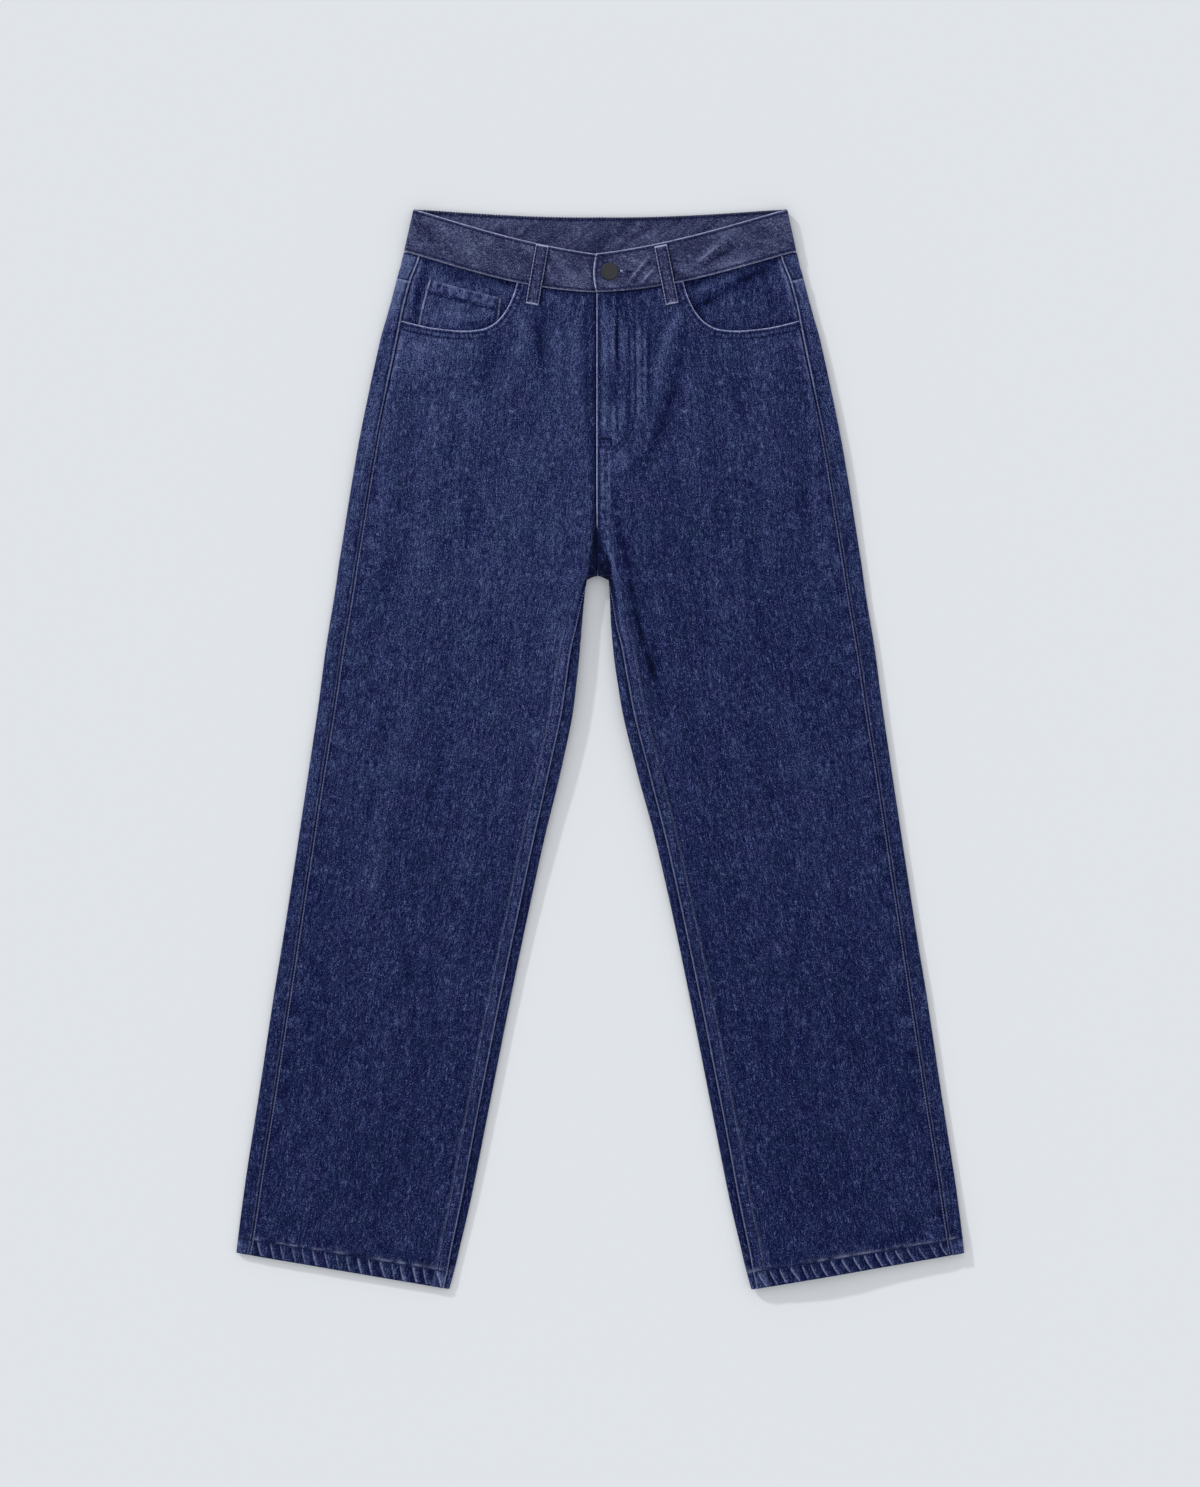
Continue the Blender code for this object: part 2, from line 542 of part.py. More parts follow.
def pocket_facings():
    for name, side in SIDES:
        grid = facing_grid(side)
        wall(f"pocket_facing_{name}", grid, lowered(grid, CLOTH), DENIM)
    first, last = COIN_ROWS
    left, right = COIN_COLUMNS
    covered = facing_grid(-1)[first:last + 1, left:right + 1]
    wall("coin_pocket", lowered(covered, -SEAM_GAP - CLOTH), lowered(covered, -SEAM_GAP), DENIM)


def back_pockets():
    for name, side in SIDES:
        turn = side * BACK_POCKET_TURN
        outline = []
        for x, y in BACK_POCKET:
            outline.append((side * BACK_POCKET_CENTRE[0] + x * math.cos(turn) - y * math.sin(turn),
                            BACK_POCKET_CENTRE[1] + x * math.sin(turn) + y * math.cos(turn)))
        prism(f"back_pocket_{name}", outline, 0, CLOTH, DENIM)


# ---- Waistband and belt loops

def band_section(row):
    """The waistband's whole loop at one row: hidden tab, right side, back, left side and its lapping end."""
    x_out = float(FORM["x_out"](row))
    radius, z_middle = (BAND_TOP - BAND_LIFT) / 2, (BAND_TOP + BAND_LIFT) / 2

    def stretch(x, z, front):
        return x, section_y(row, x, front), z

    def half_fold(side, start, end, front):
        return stretch(*arc(side * x_out, -side * radius, radius, z_middle, start, end), front)

    right = np.linspace(TAB_X, radius - x_out, BAND_STEPS)
    under = np.linspace(radius - x_out, x_out - radius, BAND_STEPS)
    left = np.linspace(x_out - radius, LAP_X, BAND_STEPS)
    dip = smooth_step(LAP_X - TAB_CLEAR - TAB_DIP, LAP_X - TAB_CLEAR, right)
    return joined(
        stretch(right, BAND_TOP + (TAB_TOP - BAND_TOP) * dip, True),
        half_fold(-1, QUARTER, 0, True),
        half_fold(-1, 0, -QUARTER, False),
        stretch(under, np.full_like(under, BAND_LIFT), False),
        half_fold(1, -QUARTER, 0, False),
        half_fold(1, 0, QUARTER, True),
        stretch(left, np.full_like(left, BAND_TOP), True))


def band_spacing(total):
    """Close around both side folds, at the tab and around the buttonhole."""
    half_width = float(FORM["x_out"]((BAND_ROWS[0] + BAND_ROWS[-1]) / 2))
    right_fold = TAB_X + half_width - FOLD_SHIFT
    left_fold = total - (half_width - LAP_X) + FOLD_SHIFT
    fold = np.linspace(-FOLD_REACH, FOLD_REACH, FOLD_COUNT)
    return np.concatenate([
        TAB_POINTS,
        np.linspace(TAB_POINTS[-1], right_fold - FOLD_REACH, RIGHT_COUNT)[1:-1],
        right_fold + fold,
        np.linspace(right_fold + FOLD_REACH, left_fold - FOLD_REACH, BACK_COUNT)[1:-1],
        left_fold + fold,
        np.linspace(left_fold + FOLD_REACH, total, LEFT_COUNT)[1:],
    ])


def waistband():
    outside, inside = [], []
    for row in seam_rows(BAND_ROWS, False, True):
        points, normals = sampled(band_section(row), band_spacing)
        outside.append(points)
        inside.append(points + normals * BAND_WALL)
    band = wall("waistband", np.array(outside), np.array(inside), BAND_DENIM)
    combine(band, buttonhole_cutter(), "DIFFERENCE")


def buttonhole_cutter():
    """An eyelet round the button's shank, with a slit."""
    x, y = BUTTON_CENTRE
    ring = [(x + HOLE_RADIUS * math.cos(a), y + HOLE_RADIUS * math.sin(a))
            for a in np.linspace(HOLE_MOUTH, 2 * math.pi - HOLE_MOUTH, HOLE_SIDES)]
    outline = [(HOLE_END_X, y + HOLE_SLIT / 2)] + ring + [(HOLE_END_X, y - HOLE_SLIT / 2)]
    return prism("buttonhole_cutter", outline, TAB_TOP + HOLE_CLEAR, CUTTER_HIGH, BAND_DENIM)


def ribbon(name, ends, heights, thickness):
    """A strip along a straight line, with a height for its underside at each step."""
    (x0, y0), (x1, y1) = ends
    length = math.hypot(x1 - x0, y1 - y0)
    across = np.array([-(y1 - y0), x1 - x0]) / length * LOOP_WIDTH / 2
    under, over = [], []
    for step, height in zip(LOOP_STEPS, heights):
        middle = np.array([x0 + (x1 - x0) * step, y0 + (y1 - y0) * step])
        line = [(*(middle + across * k), height) for k in LOOP_COLUMNS]
        under.append(line)
        over.append([(x, y, z + thickness) for x, y, z in line])
    return wall(name, np.array(over), np.array(under), DENIM)


def belt_loops():
    steps = np.array(LOOP_STEPS)
    for name, ((x0, y0), (x1, y1)) in FRONT_LOOPS.items():
        x, y = x0 + (x1 - x0) * steps, y0 + (y1 - y0) * steps
        front = top_height(row_at(x, y, True), x, y)
        down = smooth_step(*LOOP_STEP_DOWN, steps)
        carried = BAND_TOP + (front - BAND_TOP) * down
        arch = LOOP_RISE * np.sin(math.pi * np.clip(steps / LOOP_STEP_DOWN[1], 0, 1))
        ribbon(name, ((x0, y0), (x1, y1)), carried + SEAM_GAP + arch, LOOP_WALL)
    for name, ends in BACK_LOOPS.items():
        ribbon(name, ends, np.zeros_like(steps), BACK_LOOP_WALL)


# ---- Button and zip

def button():
    """A flat disc with a soft edge on a shank that stands in the buttonhole, turned about its own axis."""
    x, y = BUTTON_CENTRE
    foot, seat = TAB_TOP + SEAM_GAP, BAND_TOP + SEAM_GAP
    top = seat + BUTTON_THICK
    profile = (
        (0, foot),
        (SHANK_RADIUS, foot),
        (SHANK_RADIUS, seat),
        (BUTTON_RADIUS - BUTTON_FOOT_BEVEL, seat),
        (BUTTON_RADIUS, seat + BUTTON_FOOT_BEVEL),
        (BUTTON_RADIUS, top - BUTTON_RIM_BEVEL),
        (BUTTON_RADIUS - BUTTON_RIM_BEVEL, top),
        (BUTTON_RADIUS - BUTTON_RIM, top - BUTTON_DISH),
        (0, top - BUTTON_DISH),
    )
    vertices, rings = [], []
    for radius, z in profile:
        turns = BUTTON_SIDES if radius else 1
        rings.append([len(vertices) + k for k in range(turns)])
        for k in range(turns):
            angle = 2 * math.pi * k / BUTTON_SIDES
            vertices.append((x + radius * math.cos(angle), y + radius * math.sin(angle), z))
    faces = []
    for lower, upper in zip(rings, rings[1:]):
        for k in range(BUTTON_SIDES):
            following = (k + 1) % BUTTON_SIDES
            if len(lower) == 1:
                faces.append((lower[0], upper[following], upper[k]))
            elif len(upper) == 1:
                faces.append((lower[k], lower[following], upper[0]))
            else:
                faces.append((lower[k], lower[following], upper[following], upper[k]))
    add_object("button", vertices, faces, METAL)


def fly_zip():
    """A closed zip: a plain tape with its slider at the top, under the edge of the fly."""
    centre = float(FORM["centre"](ROW["hip 1"]))
    tape = prism("fly_zip", rectangle(centre - ZIP_HALF_WIDTH, centre + ZIP_HALF_WIDTH,
                                      ZIP_TOP_Y - ZIP_LENGTH, ZIP_TOP_Y), ZIP_TOP - ZIP_WALL, ZIP_TOP, TAPE)
    top = ZIP_TOP_Y - SLIDER_DOWN
    slider = prism("zip_slider", rectangle(centre - SLIDER_WIDTH / 2, centre + SLIDER_WIDTH / 2,
                                           top - SLIDER_LENGTH, top),
                   ZIP_TOP - ZIP_WALL - SLIDER_RISE, ZIP_TOP - ZIP_WALL / 2, TAPE)
    combine(tape, slider, "UNION")


def main():
    for old in list(bpy.data.objects):
        bpy.data.objects.remove(old, do_unlink=True)
    front_panels()
    back_panels()
    waistband()
    pocket_facings()
    back_pockets()
    belt_loops()
    button()
    fly_zip()


main()
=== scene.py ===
"""Looks for straight leg jeans laid flat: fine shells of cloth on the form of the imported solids, with their
sewing and their denim.

Units are metres, in the solids' frame: waist towards +Y, front towards +Z, the wearer's right at -X.
"""

import math

import bpy
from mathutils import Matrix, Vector
import numpy as np


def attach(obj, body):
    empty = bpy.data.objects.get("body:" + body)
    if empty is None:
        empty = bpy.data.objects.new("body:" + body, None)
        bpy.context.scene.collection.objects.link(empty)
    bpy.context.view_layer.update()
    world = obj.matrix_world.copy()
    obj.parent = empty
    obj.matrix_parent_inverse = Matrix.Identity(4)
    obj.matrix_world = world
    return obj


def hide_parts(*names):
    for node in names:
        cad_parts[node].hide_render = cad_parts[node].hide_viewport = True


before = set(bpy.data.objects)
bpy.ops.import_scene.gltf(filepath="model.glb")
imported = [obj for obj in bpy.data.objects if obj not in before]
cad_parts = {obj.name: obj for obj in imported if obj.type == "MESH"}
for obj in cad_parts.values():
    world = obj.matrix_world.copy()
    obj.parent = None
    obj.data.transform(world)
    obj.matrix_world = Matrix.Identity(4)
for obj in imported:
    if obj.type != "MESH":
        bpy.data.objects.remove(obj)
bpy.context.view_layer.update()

# ---- The solids' sizes and form, as the part's source gives them
CLOTH = 0.0011
BAND_WALL = 0.0020
HEM_WALL = 0.0020
LOOP_WALL = 0.0013
SEAM_GAP = 0.0003
HALF_SEAM = SEAM_GAP / 2
COLUMNS = ("y_out", "x_out", "y_front", "y_back", "half_gap", "centre", "centre_back", "bow", "bow_back",
           "edge", "middle", "lift", "out_seam", "in_seam")
SECTIONS = {
    "band top":   ( 529.4, 183.3,  485.8,  521.6,     0, -4.1,    0, 4.2,   2,   6, 6.8, 1.4, 16.2,   -1),
    "waist seam": ( 487.3, 192.6,  447.6,  480.4,     0, -4.1,    0, 6.9,   2,   6, 6.8, 1.4, 16.2,   -1),
    "yoke seam":  ( 461.8, 199.3,  424.6,  413.8,     0, -4.1,    0, 5.9,   2,   6, 6.8, 1.4, 13.8,   -1),
    "hip 1":      ( 440.3, 204.8,    403,  394.2,     0, -4.1,    0, 4.4, 1.5,   6, 6.8, 1.4, 13.5,   -1),
    "hip 2":      ( 410.9, 213.2,  379.5,  371.7,     0, -4.1,    0, 2.9,   1,   6, 6.8, 1.4,   16,   -1),
    "hip 3":      ( 381.5, 220.5,    354,  347.2,     0, -4.1,    0, 1.5,   0,   6, 6.8, 1.4, 17.3,   -1),
    "seat 1":     ( 342.3, 228.8,  322.7,  315.8,     0, -4.1,    0, 0.5,   0,   6, 6.8, 1.4, 17.6,   -1),
    "seat 2":     ( 303.1, 236.7,  288.4,  283.5,     0, -4.1,    0,   0,   0,   6, 6.8, 1.4, 17.6,   -1),
    "seat 3":     ( 263.9, 243.5,  254.1,  251.1,     0, -4.1, -0.3,   0,   0, 5.8, 6.7, 1.4, 17.6,   -1),
    "fork 1":     ( 229.6,   249,  222.7,  220.7,     0, -3.9,   -1,   0,   0, 5.5, 6.5, 0.9, 17.6,   -1),
    "fork 2":     ( 200.2, 253.6,  195.3,  194.3,     0, -3.2, -1.9,   0,   0, 5.2, 6.3, 0.3, 17.5,   -1),
    "fork 3":     ( 179.6, 256.9,  175.7,  175.7,     0, -2.6, -2.4,   0,   0,   5, 6.2,   0, 17.4,   -1),
    "crotch":     ( 170.8, 258.1,  169.8,  169.8,     0, -2.3, -2.3,   0,   0,   5, 6.2,   0, 17.4,   -1),
    "leg 1":      ( 166.8, 258.6,  168.2,  168.2,   9.6, -2.3, -2.3,   0,   0,   5, 6.2,   0, 17.3,   -1),
    "leg 2":      (   158, 259.8,  159.5,  159.5,  11.4, -2.7, -2.7,   0,   0,   5, 6.2,   0, 17.2,  0.3),
    "leg 3":      ( 143.3, 262.1,  144.3,  144.3,  12.7, -3.2, -3.2,   0,   0,   5, 6.2,   0, 17.1,  2.7),
    "leg 4":      ( 121.8, 265.6,  120.8,  120.8,  14.2, -3.7, -3.7,   0,   0,   5, 6.2,   0, 16.9,  5.8),
    "leg 5":      (  97.3, 269.5,   94.3,   94.3,  16.5, -3.6, -3.6,   0,   0,   5, 6.2,   0, 16.5,  9.7),
    "leg 6":      (  48.3, 275.9,   42.4,   42.4,  23.1, -2.6, -2.6,   0,   0,   5, 6.2,   0, 15.8, 11.5),
    "leg 7":      ( -10.5, 284.6,  -19.4,  -19.4,  36.7, -1.4, -1.4,   0,   0,   5, 6.2,   0,   15,   12),
    "leg 8":      ( -79.1, 294.8,  -90.9,  -90.9,  54.8, -0.4, -0.4,   0,   0,   5, 6.2,   0, 14.4, 10.9),
    "leg 9":      (-157.5, 306.8, -173.2, -173.2,  73.2,    0,    0,   0,   0,   5, 6.2,   0, 14.5, 10.2),
    "leg 10":     (-245.7,   321, -266.3, -266.3,  92.2,    0,    0,   0,   0,   5, 6.2,   0, 15.4, 10.5),
    "leg 11":     (-333.9, 334.3, -358.4, -358.4, 110.3,    0,    0,   0,   0,   5, 6.2,   0, 15.2, 10.4),
    "leg 12":     (-422.1, 348.1, -451.5, -451.5, 128.9,    0,    0,   0,   0,   5, 6.2,   0, 14.8,  9.2),
    "leg 13":     (-459.4,   353, -492.2, -492.2, 138.4,    0,    0,   0,   0, 5.6, 6.6,   0, 14.2,  8.4),
    "hem top":    (  -478, 355.2, -512.3, -512.3, 143.4,    0,    0,   0,   0, 6.8, 7.8,   0, 13.5,  7.3),
    "hem edge":   (-493.7,   357, -529.4, -529.4,   148,    0,    0,   0,   0,   7, 7.8,   0, 12.5,  6.6),
}
MILLIMETRE = 0.001
ROW = {name: number for number, name in enumerate(SECTIONS)}
LAST = len(SECTIONS) - 1
BOW_SKEW = 1.3
EDGE_SLOPE = 0.025
FORK_SLOPE = 0.012
CREST_FADE = 0.008
VALLEY_TOP = 0.0029
VALLEY_START_Y, VALLEY_END_Y = 0.250, 0.212
VALLEY_NARROW_Y, VALLEY_WIDE_Y = 0.225, 0.168
BANK = 0.007  # width of the hollow's sides, steeper than in the solids

LONG_STEPS, SHORT_STEPS, ARC_STEPS = 260, 40, 16
NORMAL_REACH = 0.0002
FACING_WAY = (0.1, 0.8)  # how upright a normal starts to count as facing up, and counts in full
SIDES = (("right", -1), ("left", 1))
QUARTER = math.pi / 2

BAND_TOP = 0.0080
BAND_LIFT = 0.0014
LAP_X = -0.0044
TAB_X = 0.0280
TAB_TOP = 0.0057
TAB_CLEAR, TAB_DIP = 0.003, 0.026
LAP_STEP = 0.0010
LAP_FADE = 0.020

FOLDS = (
    ((0.0120, 0.2540), (0.0780, -0.0500), 0.011, 0.0020),
    ((0.0830, 0.3500), (0.0490, 0.2700), 0.012, 0.0014),
    ((0.2000, 0.3420), (0.1800, 0.2050), 0.012, 0.0014),
    ((-0.0690, 0.4000), (-0.0790, 0.2740), 0.012, 0.0010),
    ((-0.1766, 0.3600), (-0.1940, 0.2250), 0.012, 0.0012),
    ((-0.0480, 0.1400), (-0.0780, -0.0600), 0.013, 0.0014),
    ((0.1900, 0.0200), (0.2350, -0.2000), 0.016, 0.0012),
    ((-0.2050, -0.1000), (-0.2450, -0.3300), 0.016, 0.0012),
)
FOLD_BEGIN, FOLD_END = (-0.15, 0.25), (0.75, 1.15)

OPENING = ((0.0799, 0.4638), (0.0818, 0.4569), (0.0857, 0.4442), (0.0936, 0.4285), (0.1039, 0.4174),
           (0.1166, 0.4116), (0.1333, 0.4101), (0.1617, 0.4125), (0.1940, 0.4197), (0.2130, 0.4240))
OPENING_STEPS = 28
FACING_INNER_X = 0.0700
FACING_DEEP, FACING_SHALLOW = 0.0028, 0.0004
FACING_LEVEL, FACING_RISE = 0.006, 0.030
FACING_FIRST, FACING_LAST = 1, 4.45
COIN_FIRST, COIN_LAST = 1.7, 4.1
COIN_OUTER, COIN_INNER = 0.156, 0.775
COIN_SKEW = (0.0018, 0.0036)  # how much further out it lies than the solid, at its top and at its bottom

BACK_POCKET = ((-0.070, 0.0), (0.070, 0.0), (0.066, -0.115), (0.0, -0.142), (-0.066, -0.115))
BACK_POCKET_CENTRE = (0.1080, 0.3960)
BACK_POCKET_TURN = math.radians(4)

LOOP_WIDTH = 0.0125
FRONT_LOOPS = {
    "belt_loop_front_right": ((-0.0566, 0.4940), (-0.0669, 0.4359)),
    "belt_loop_front_left": ((0.0590, 0.4935), (0.0705, 0.4363)),
}
BACK_LOOPS = {
    "belt_loop_side_right": ((-0.1120, 0.5240), (-0.1150, 0.4640)),
    "belt_loop_back": ((0.0, 0.5210), (0.0, 0.4610)),
    "belt_loop_side_left": ((0.1120, 0.5240), (0.1150, 0.4640)),
}
LOOP_RISE = 0.0006
LOOP_STEP_DOWN = (0.72, 0.90)

# ---- Steps of the fine meshes
CELL = 0.0024
FRONT_CELL, FRONT_COLUMNS = 0.0020, 142
UNDER_COLUMNS = 56
INNER_STEP = 3  # how many outer cells one inner cell spans
SHARP_FROM = math.radians(50)
FINE_EDGE = (0, 0.0004, 0.0008, 0.0013, 0.0019, 0.0027, 0.0037, 0.0050)


# ---- Reading the table

def smooth_column(values):
    """A monotone cubic through one column, as a function of the row number."""
    values = np.asarray(values, float)
    steps = np.diff(values)
    slopes = np.zeros_like(values)
    before, after = steps[:-1], steps[1:]
    same_way = before * after > 0
    slopes[1:-1][same_way] = 2 * (before * after)[same_way] / (before + after)[same_way]
    slopes[0], slopes[-1] = steps[0], steps[-1]

    def at(row):
        row = np.clip(np.asarray(row, float), 0, len(values) - 1)
        first = np.minimum(row.astype(int), len(values) - 2)
        t = row - first
        rise = t * t * (3 - 2 * t)
        return (values[first] + rise * steps[first] + t * (1 - t) ** 2 * slopes[first]
                - t * t * (1 - t) * slopes[first + 1])

    return at


FORM = {name: smooth_column([row[i] * MILLIMETRE for row in SECTIONS.values()])
        for i, name in enumerate(COLUMNS)}


def smooth_step(low, high, value):
    t = np.clip((value - low) / (high - low), 0, 1)
    return t * t * (3 - 2 * t)


def bump(centre, width, value):
    """A soft bell of height 1."""
    return np.exp(-((value - centre) / width) ** 2)


def section_y(row, x, front):
    form = {name: FORM[name](row) for name in COLUMNS}
    centre = form["centre" if front else "centre_back"]
    side = np.where(x < centre, -1.0, 1.0)
    inner_x = centre + side * form["half_gap"]
    share = np.clip((side * form["x_out"] - x) / (side * form["x_out"] - inner_x), 0, 1)
    y_inner = form["y_front" if front else "y_back"]
    bow = form["bow" if front else "bow_back"]
    skewed = share ** BOW_SKEW
    return form["y_out"] + (y_inner - form["y_out"]) * share - bow * 4 * skewed * (1 - skewed)


def row_at(x, y, front):
    low, high = np.zeros_like(x), np.full_like(x, LAST)
    for _ in range(40):
        middle = (low + high) / 2
        above = section_y(middle, x, front) > y
        low = np.where(above, middle, low)
        high = np.where(above, high, middle)
    return (low + high) / 2


def fold_depth(x, y):
    depth = np.zeros_like(x)
    for (x0, y0), (x1, y1), width, deep in FOLDS:
        length = math.hypot(x1 - x0, y1 - y0)
        along = ((x - x0) * (x1 - x0) + (y - y0) * (y1 - y0)) / length ** 2
        across = ((x - x0) * (y1 - y0) - (y - y0) * (x1 - x0)) / length
        ends = smooth_step(*FOLD_BEGIN, along) * (1 - smooth_step(*FOLD_END, along))
        depth += deep * ends * np.exp(-(across / width) ** 2)
    return depth


def top_height(row, x, y):
    """Height of the outside of the top layer, away from its folded edges."""
    form = {name: FORM[name](row) for name in ("x_out", "half_gap", "centre", "edge", "middle", "lift")}
    radius = (form["edge"] - form["lift"]) / 2
    from_fold = form["x_out"] - np.abs(x)
    from_centre = np.abs(x - form["centre"])
    rise = smooth_step(0, EDGE_SLOPE, from_fold - radius)
    fade = smooth_step(0, CREST_FADE, from_fold - radius)
    in_leg = form["half_gap"] > 0
    from_inner = from_centre - form["half_gap"] - radius
    slope = FORK_SLOPE + (EDGE_SLOPE - FORK_SLOPE) * smooth_step(ROW["leg 1"], ROW["leg 5"], row)
    rise = np.where(in_leg, np.minimum(rise, smooth_step(0, slope, from_inner)), rise)
    fade = np.where(in_leg, np.minimum(fade, smooth_step(0, CREST_FADE, from_inner)), fade)
    height = form["edge"] + (form["middle"] - form["edge"]) * rise - fold_depth(x, y) * fade
    deep = smooth_step(VALLEY_START_Y, VALLEY_END_Y, y)
    hollow = FORM["half_gap"](ROW["leg 1"]) * smooth_step(VALLEY_NARROW_Y, VALLEY_WIDE_Y, y)
    bank = smooth_step(0, BANK, from_centre - hollow)
    height = np.where(in_leg, height, height - (height - VALLEY_TOP) * deep * (1 - bank))
    beside = (1 - smooth_step(0, LAP_FADE, from_centre)) * (1 - deep)
    return height - np.where((x < form["centre"]) & ~in_leg, LAP_STEP * beside, 0)


def arc(x_crest, inward, radius, z_middle, start, end):
    angles = np.linspace(start, end, ARC_STEPS)
    return x_crest + inward * (1 - np.cos(angles)), z_middle + radius * np.sin(angles)


def joined(*parts):
    return np.array([np.concatenate([part[i] for part in parts]) for i in range(3)]).T


def travelled(points):
    """Distance along a line from its start, at each of its points."""
    return np.concatenate([[0], np.cumsum(np.linalg.norm(np.diff(points, axis=0), axis=1))])


def sampled(at, along, values):
    """The columns of values at distances along a line."""
    return np.array([np.interp(at, along, values[:, i]) for i in range(values.shape[1])]).T


def lifted(points, height):
    """Points raised by a height each."""
    return points + np.stack([0 * height, 0 * height, height], axis=-1)


class Section:
    """One side of one section, with the stretches that its paths are made of."""

    def __init__(self, row, side):
        form = {name: float(FORM[name](row)) for name in COLUMNS}
        self.row, self.side = row, side
        self.lift = form["lift"]
        self.radius = (form["edge"] - form["lift"]) / 2
        self.z_middle = (form["edge"] + form["lift"]) / 2
        self.outer = side * form["x_out"]
        self.seam_x = self.outer - side * form["out_seam"]
        self.in_leg = form["half_gap"] > 0
        self.inner = form["centre"] + side * form["half_gap"]
        self.centre_back = form["centre_back"]
        self.turn = form["in_seam"] / self.radius
        self.gap_turn = HALF_SEAM / self.radius
        self.strip = form["in_seam"] - self.radius * QUARTER + self.radius
        self.seam_on_top = self.in_leg and self.turn > QUARTER

    def top(self, x_from, x_to, steps):
        x = np.linspace(x_from, x_to, steps)
        y = section_y(self.row, x, True)
        return x, y, top_height(np.full_like(x, self.row), x, y)

    def under(self, x_from, x_to):
        x = np.linspace(x_from, x_to, LONG_STEPS)
        return x, section_y(self.row, x, False), np.full_like(x, self.lift)

    def fold(self, x_crest, way, start, end, front):
        x, z = arc(x_crest, way * self.radius, self.radius, self.z_middle, start, end)
        return x, section_y(self.row, x, front), z

    def front_path(self):
        start = self.seam_x - self.side * HALF_SEAM
        if self.seam_on_top:
            return joined(self.top(start, self.inner + self.side * (self.strip + HALF_SEAM), LONG_STEPS))
        if not self.in_leg:
            return joined(self.top(start, self.inner + self.side * HALF_SEAM, LONG_STEPS))
        return joined(
            self.top(start, self.inner + self.side * self.radius, LONG_STEPS),
            self.fold(self.inner, self.side, QUARTER, self.turn + self.gap_turn, True))

    def back_path(self):
        side, inward = self.side, -self.side
        flat = self.outer + inward * self.radius
        parts = [
            self.top(self.seam_x + side * HALF_SEAM, flat, SHORT_STEPS),
            self.fold(self.outer, inward, QUARTER, 0, True),
            self.fold(self.outer, inward, 0, -QUARTER, False)]
        if not self.in_leg:
            return joined(*parts, self.under(flat, self.centre_back + side * HALF_SEAM))
        crest = self.inner + side * self.radius
        parts.append(self.under(flat, crest))
        parts.append(self.fold(self.inner, side, -QUARTER, min(self.turn, QUARTER) - self.gap_turn, False))
        if self.seam_on_top:
            parts.append(self.top(crest, self.inner + side * (self.strip - HALF_SEAM), SHORT_STEPS))
        return joined(*parts)


# ---- Smooth repeatable noise

def noise(x, y, seed):
    """Value noise from -1 to 1 with features about one unit apart."""
    size = 61
    values = np.random.RandomState(seed).uniform(-1, 1, (size, size))
    x, y = np.broadcast_arrays(np.asarray(x, float), np.asarray(y, float))
    column, row = np.floor(x), np.floor(y)
    u, v = x - column, y - row
    u, v = u * u * (3 - 2 * u), v * v * (3 - 2 * v)
    i, j = column.astype(int) % size, row.astype(int) % size
    i2, j2 = (i + 1) % size, (j + 1) % size
    upper = values[i, j] * (1 - u) + values[i2, j] * u
    lower = values[i, j2] * (1 - u) + values[i2, j2] * u
    return upper * (1 - v) + lower * v


def layered(x, y, seed):
    return (noise(x, y, seed) + 0.5 * noise(2.1 * x, 2.1 * y, seed + 1)) / 1.2


def ripples(along, pitch, seed):
    """An uneven wave along a seam, from -1 to 1."""
    drift = 0.45 * noise(along / (2.6 * pitch), seed, seed)
    strength = 0.65 + 0.35 * noise(along / (1.8 * pitch), seed + 0.5, seed + 1)
    return strength * np.sin(2 * math.pi * (along / pitch + drift))


# ---- Grids of cloth

# How high the thick seams at the crotch hold the legs' inner edges off the floor: row, and lift.
LIFT_ROWS = ("seat 3", "fork 1", "fork 2", "crotch", "leg 5", "leg 6", "leg 7", "leg 8", "leg 9", "leg 10")
LIFTS = (0, 0.0012, 0.0040, 0.0058, 0.0058, 0.0052, 0.0040, 0.0024, 0.0010, 0)
LIFT_REACH = 0.050
# The left hem bows up off the floor round one x, and the right one lies flatter than its folded edge.
HEM_BOW, HEM_BOW_X, HEM_BOW_REACH = 0.0034, 0.2150, 0.055
HEM_PRESS = 0.36
SETTLE_ROWS = ("leg 11", "hem top")


def settle(rows, points):
    """How the cloth sits on the floor, as a change to its points."""
    x = points[..., 0]
    away = np.maximum(np.abs(x - FORM["centre"](rows)) - FORM["half_gap"](rows), 0)
    lift = np.interp(rows, [ROW[name] for name in LIFT_ROWS], LIFTS) * np.exp(-(away / LIFT_REACH) ** 2)
    near_hem = smooth_step(*(ROW[name] for name in SETTLE_ROWS), rows)
    lift = lift + HEM_BOW * near_hem * bump(HEM_BOW_X, HEM_BOW_REACH, x)
    points[..., 2] *= 1 - HEM_PRESS * near_hem * (x < 0)
    points[..., 2] += lift


def spaced(total, cell, fine_start, fine_end, count=None):
    """Distances along a path: fine steps at the ends that ask for them, even ones between."""
    start = np.array(FINE_EDGE if fine_start else (0,))
    end = np.array(FINE_EDGE if fine_end else (0,))
    span = total - start[-1] - end[-1]
    count = count or max(2, int(round(span / cell)))
    middle = start[-1] + span * np.arange(1, count) / count
    return np.concatenate([start, middle, total - end[::-1]])


def rows_between(first, last, cell, fine_start, fine_end):
    """Row numbers at even distances down the leg, and their distances."""
    dense = np.linspace(first, last, 6000)
    y = (FORM["y_out"](dense) + FORM["y_front"](dense)) / 2
    x = (FORM["x_out"](dense) + FORM["half_gap"](dense)) / 2
    along = travelled(np.array([x, y]).T)
    wanted = spaced(along[-1], cell, fine_start, fine_end)
    return np.interp(wanted, along, dense), wanted


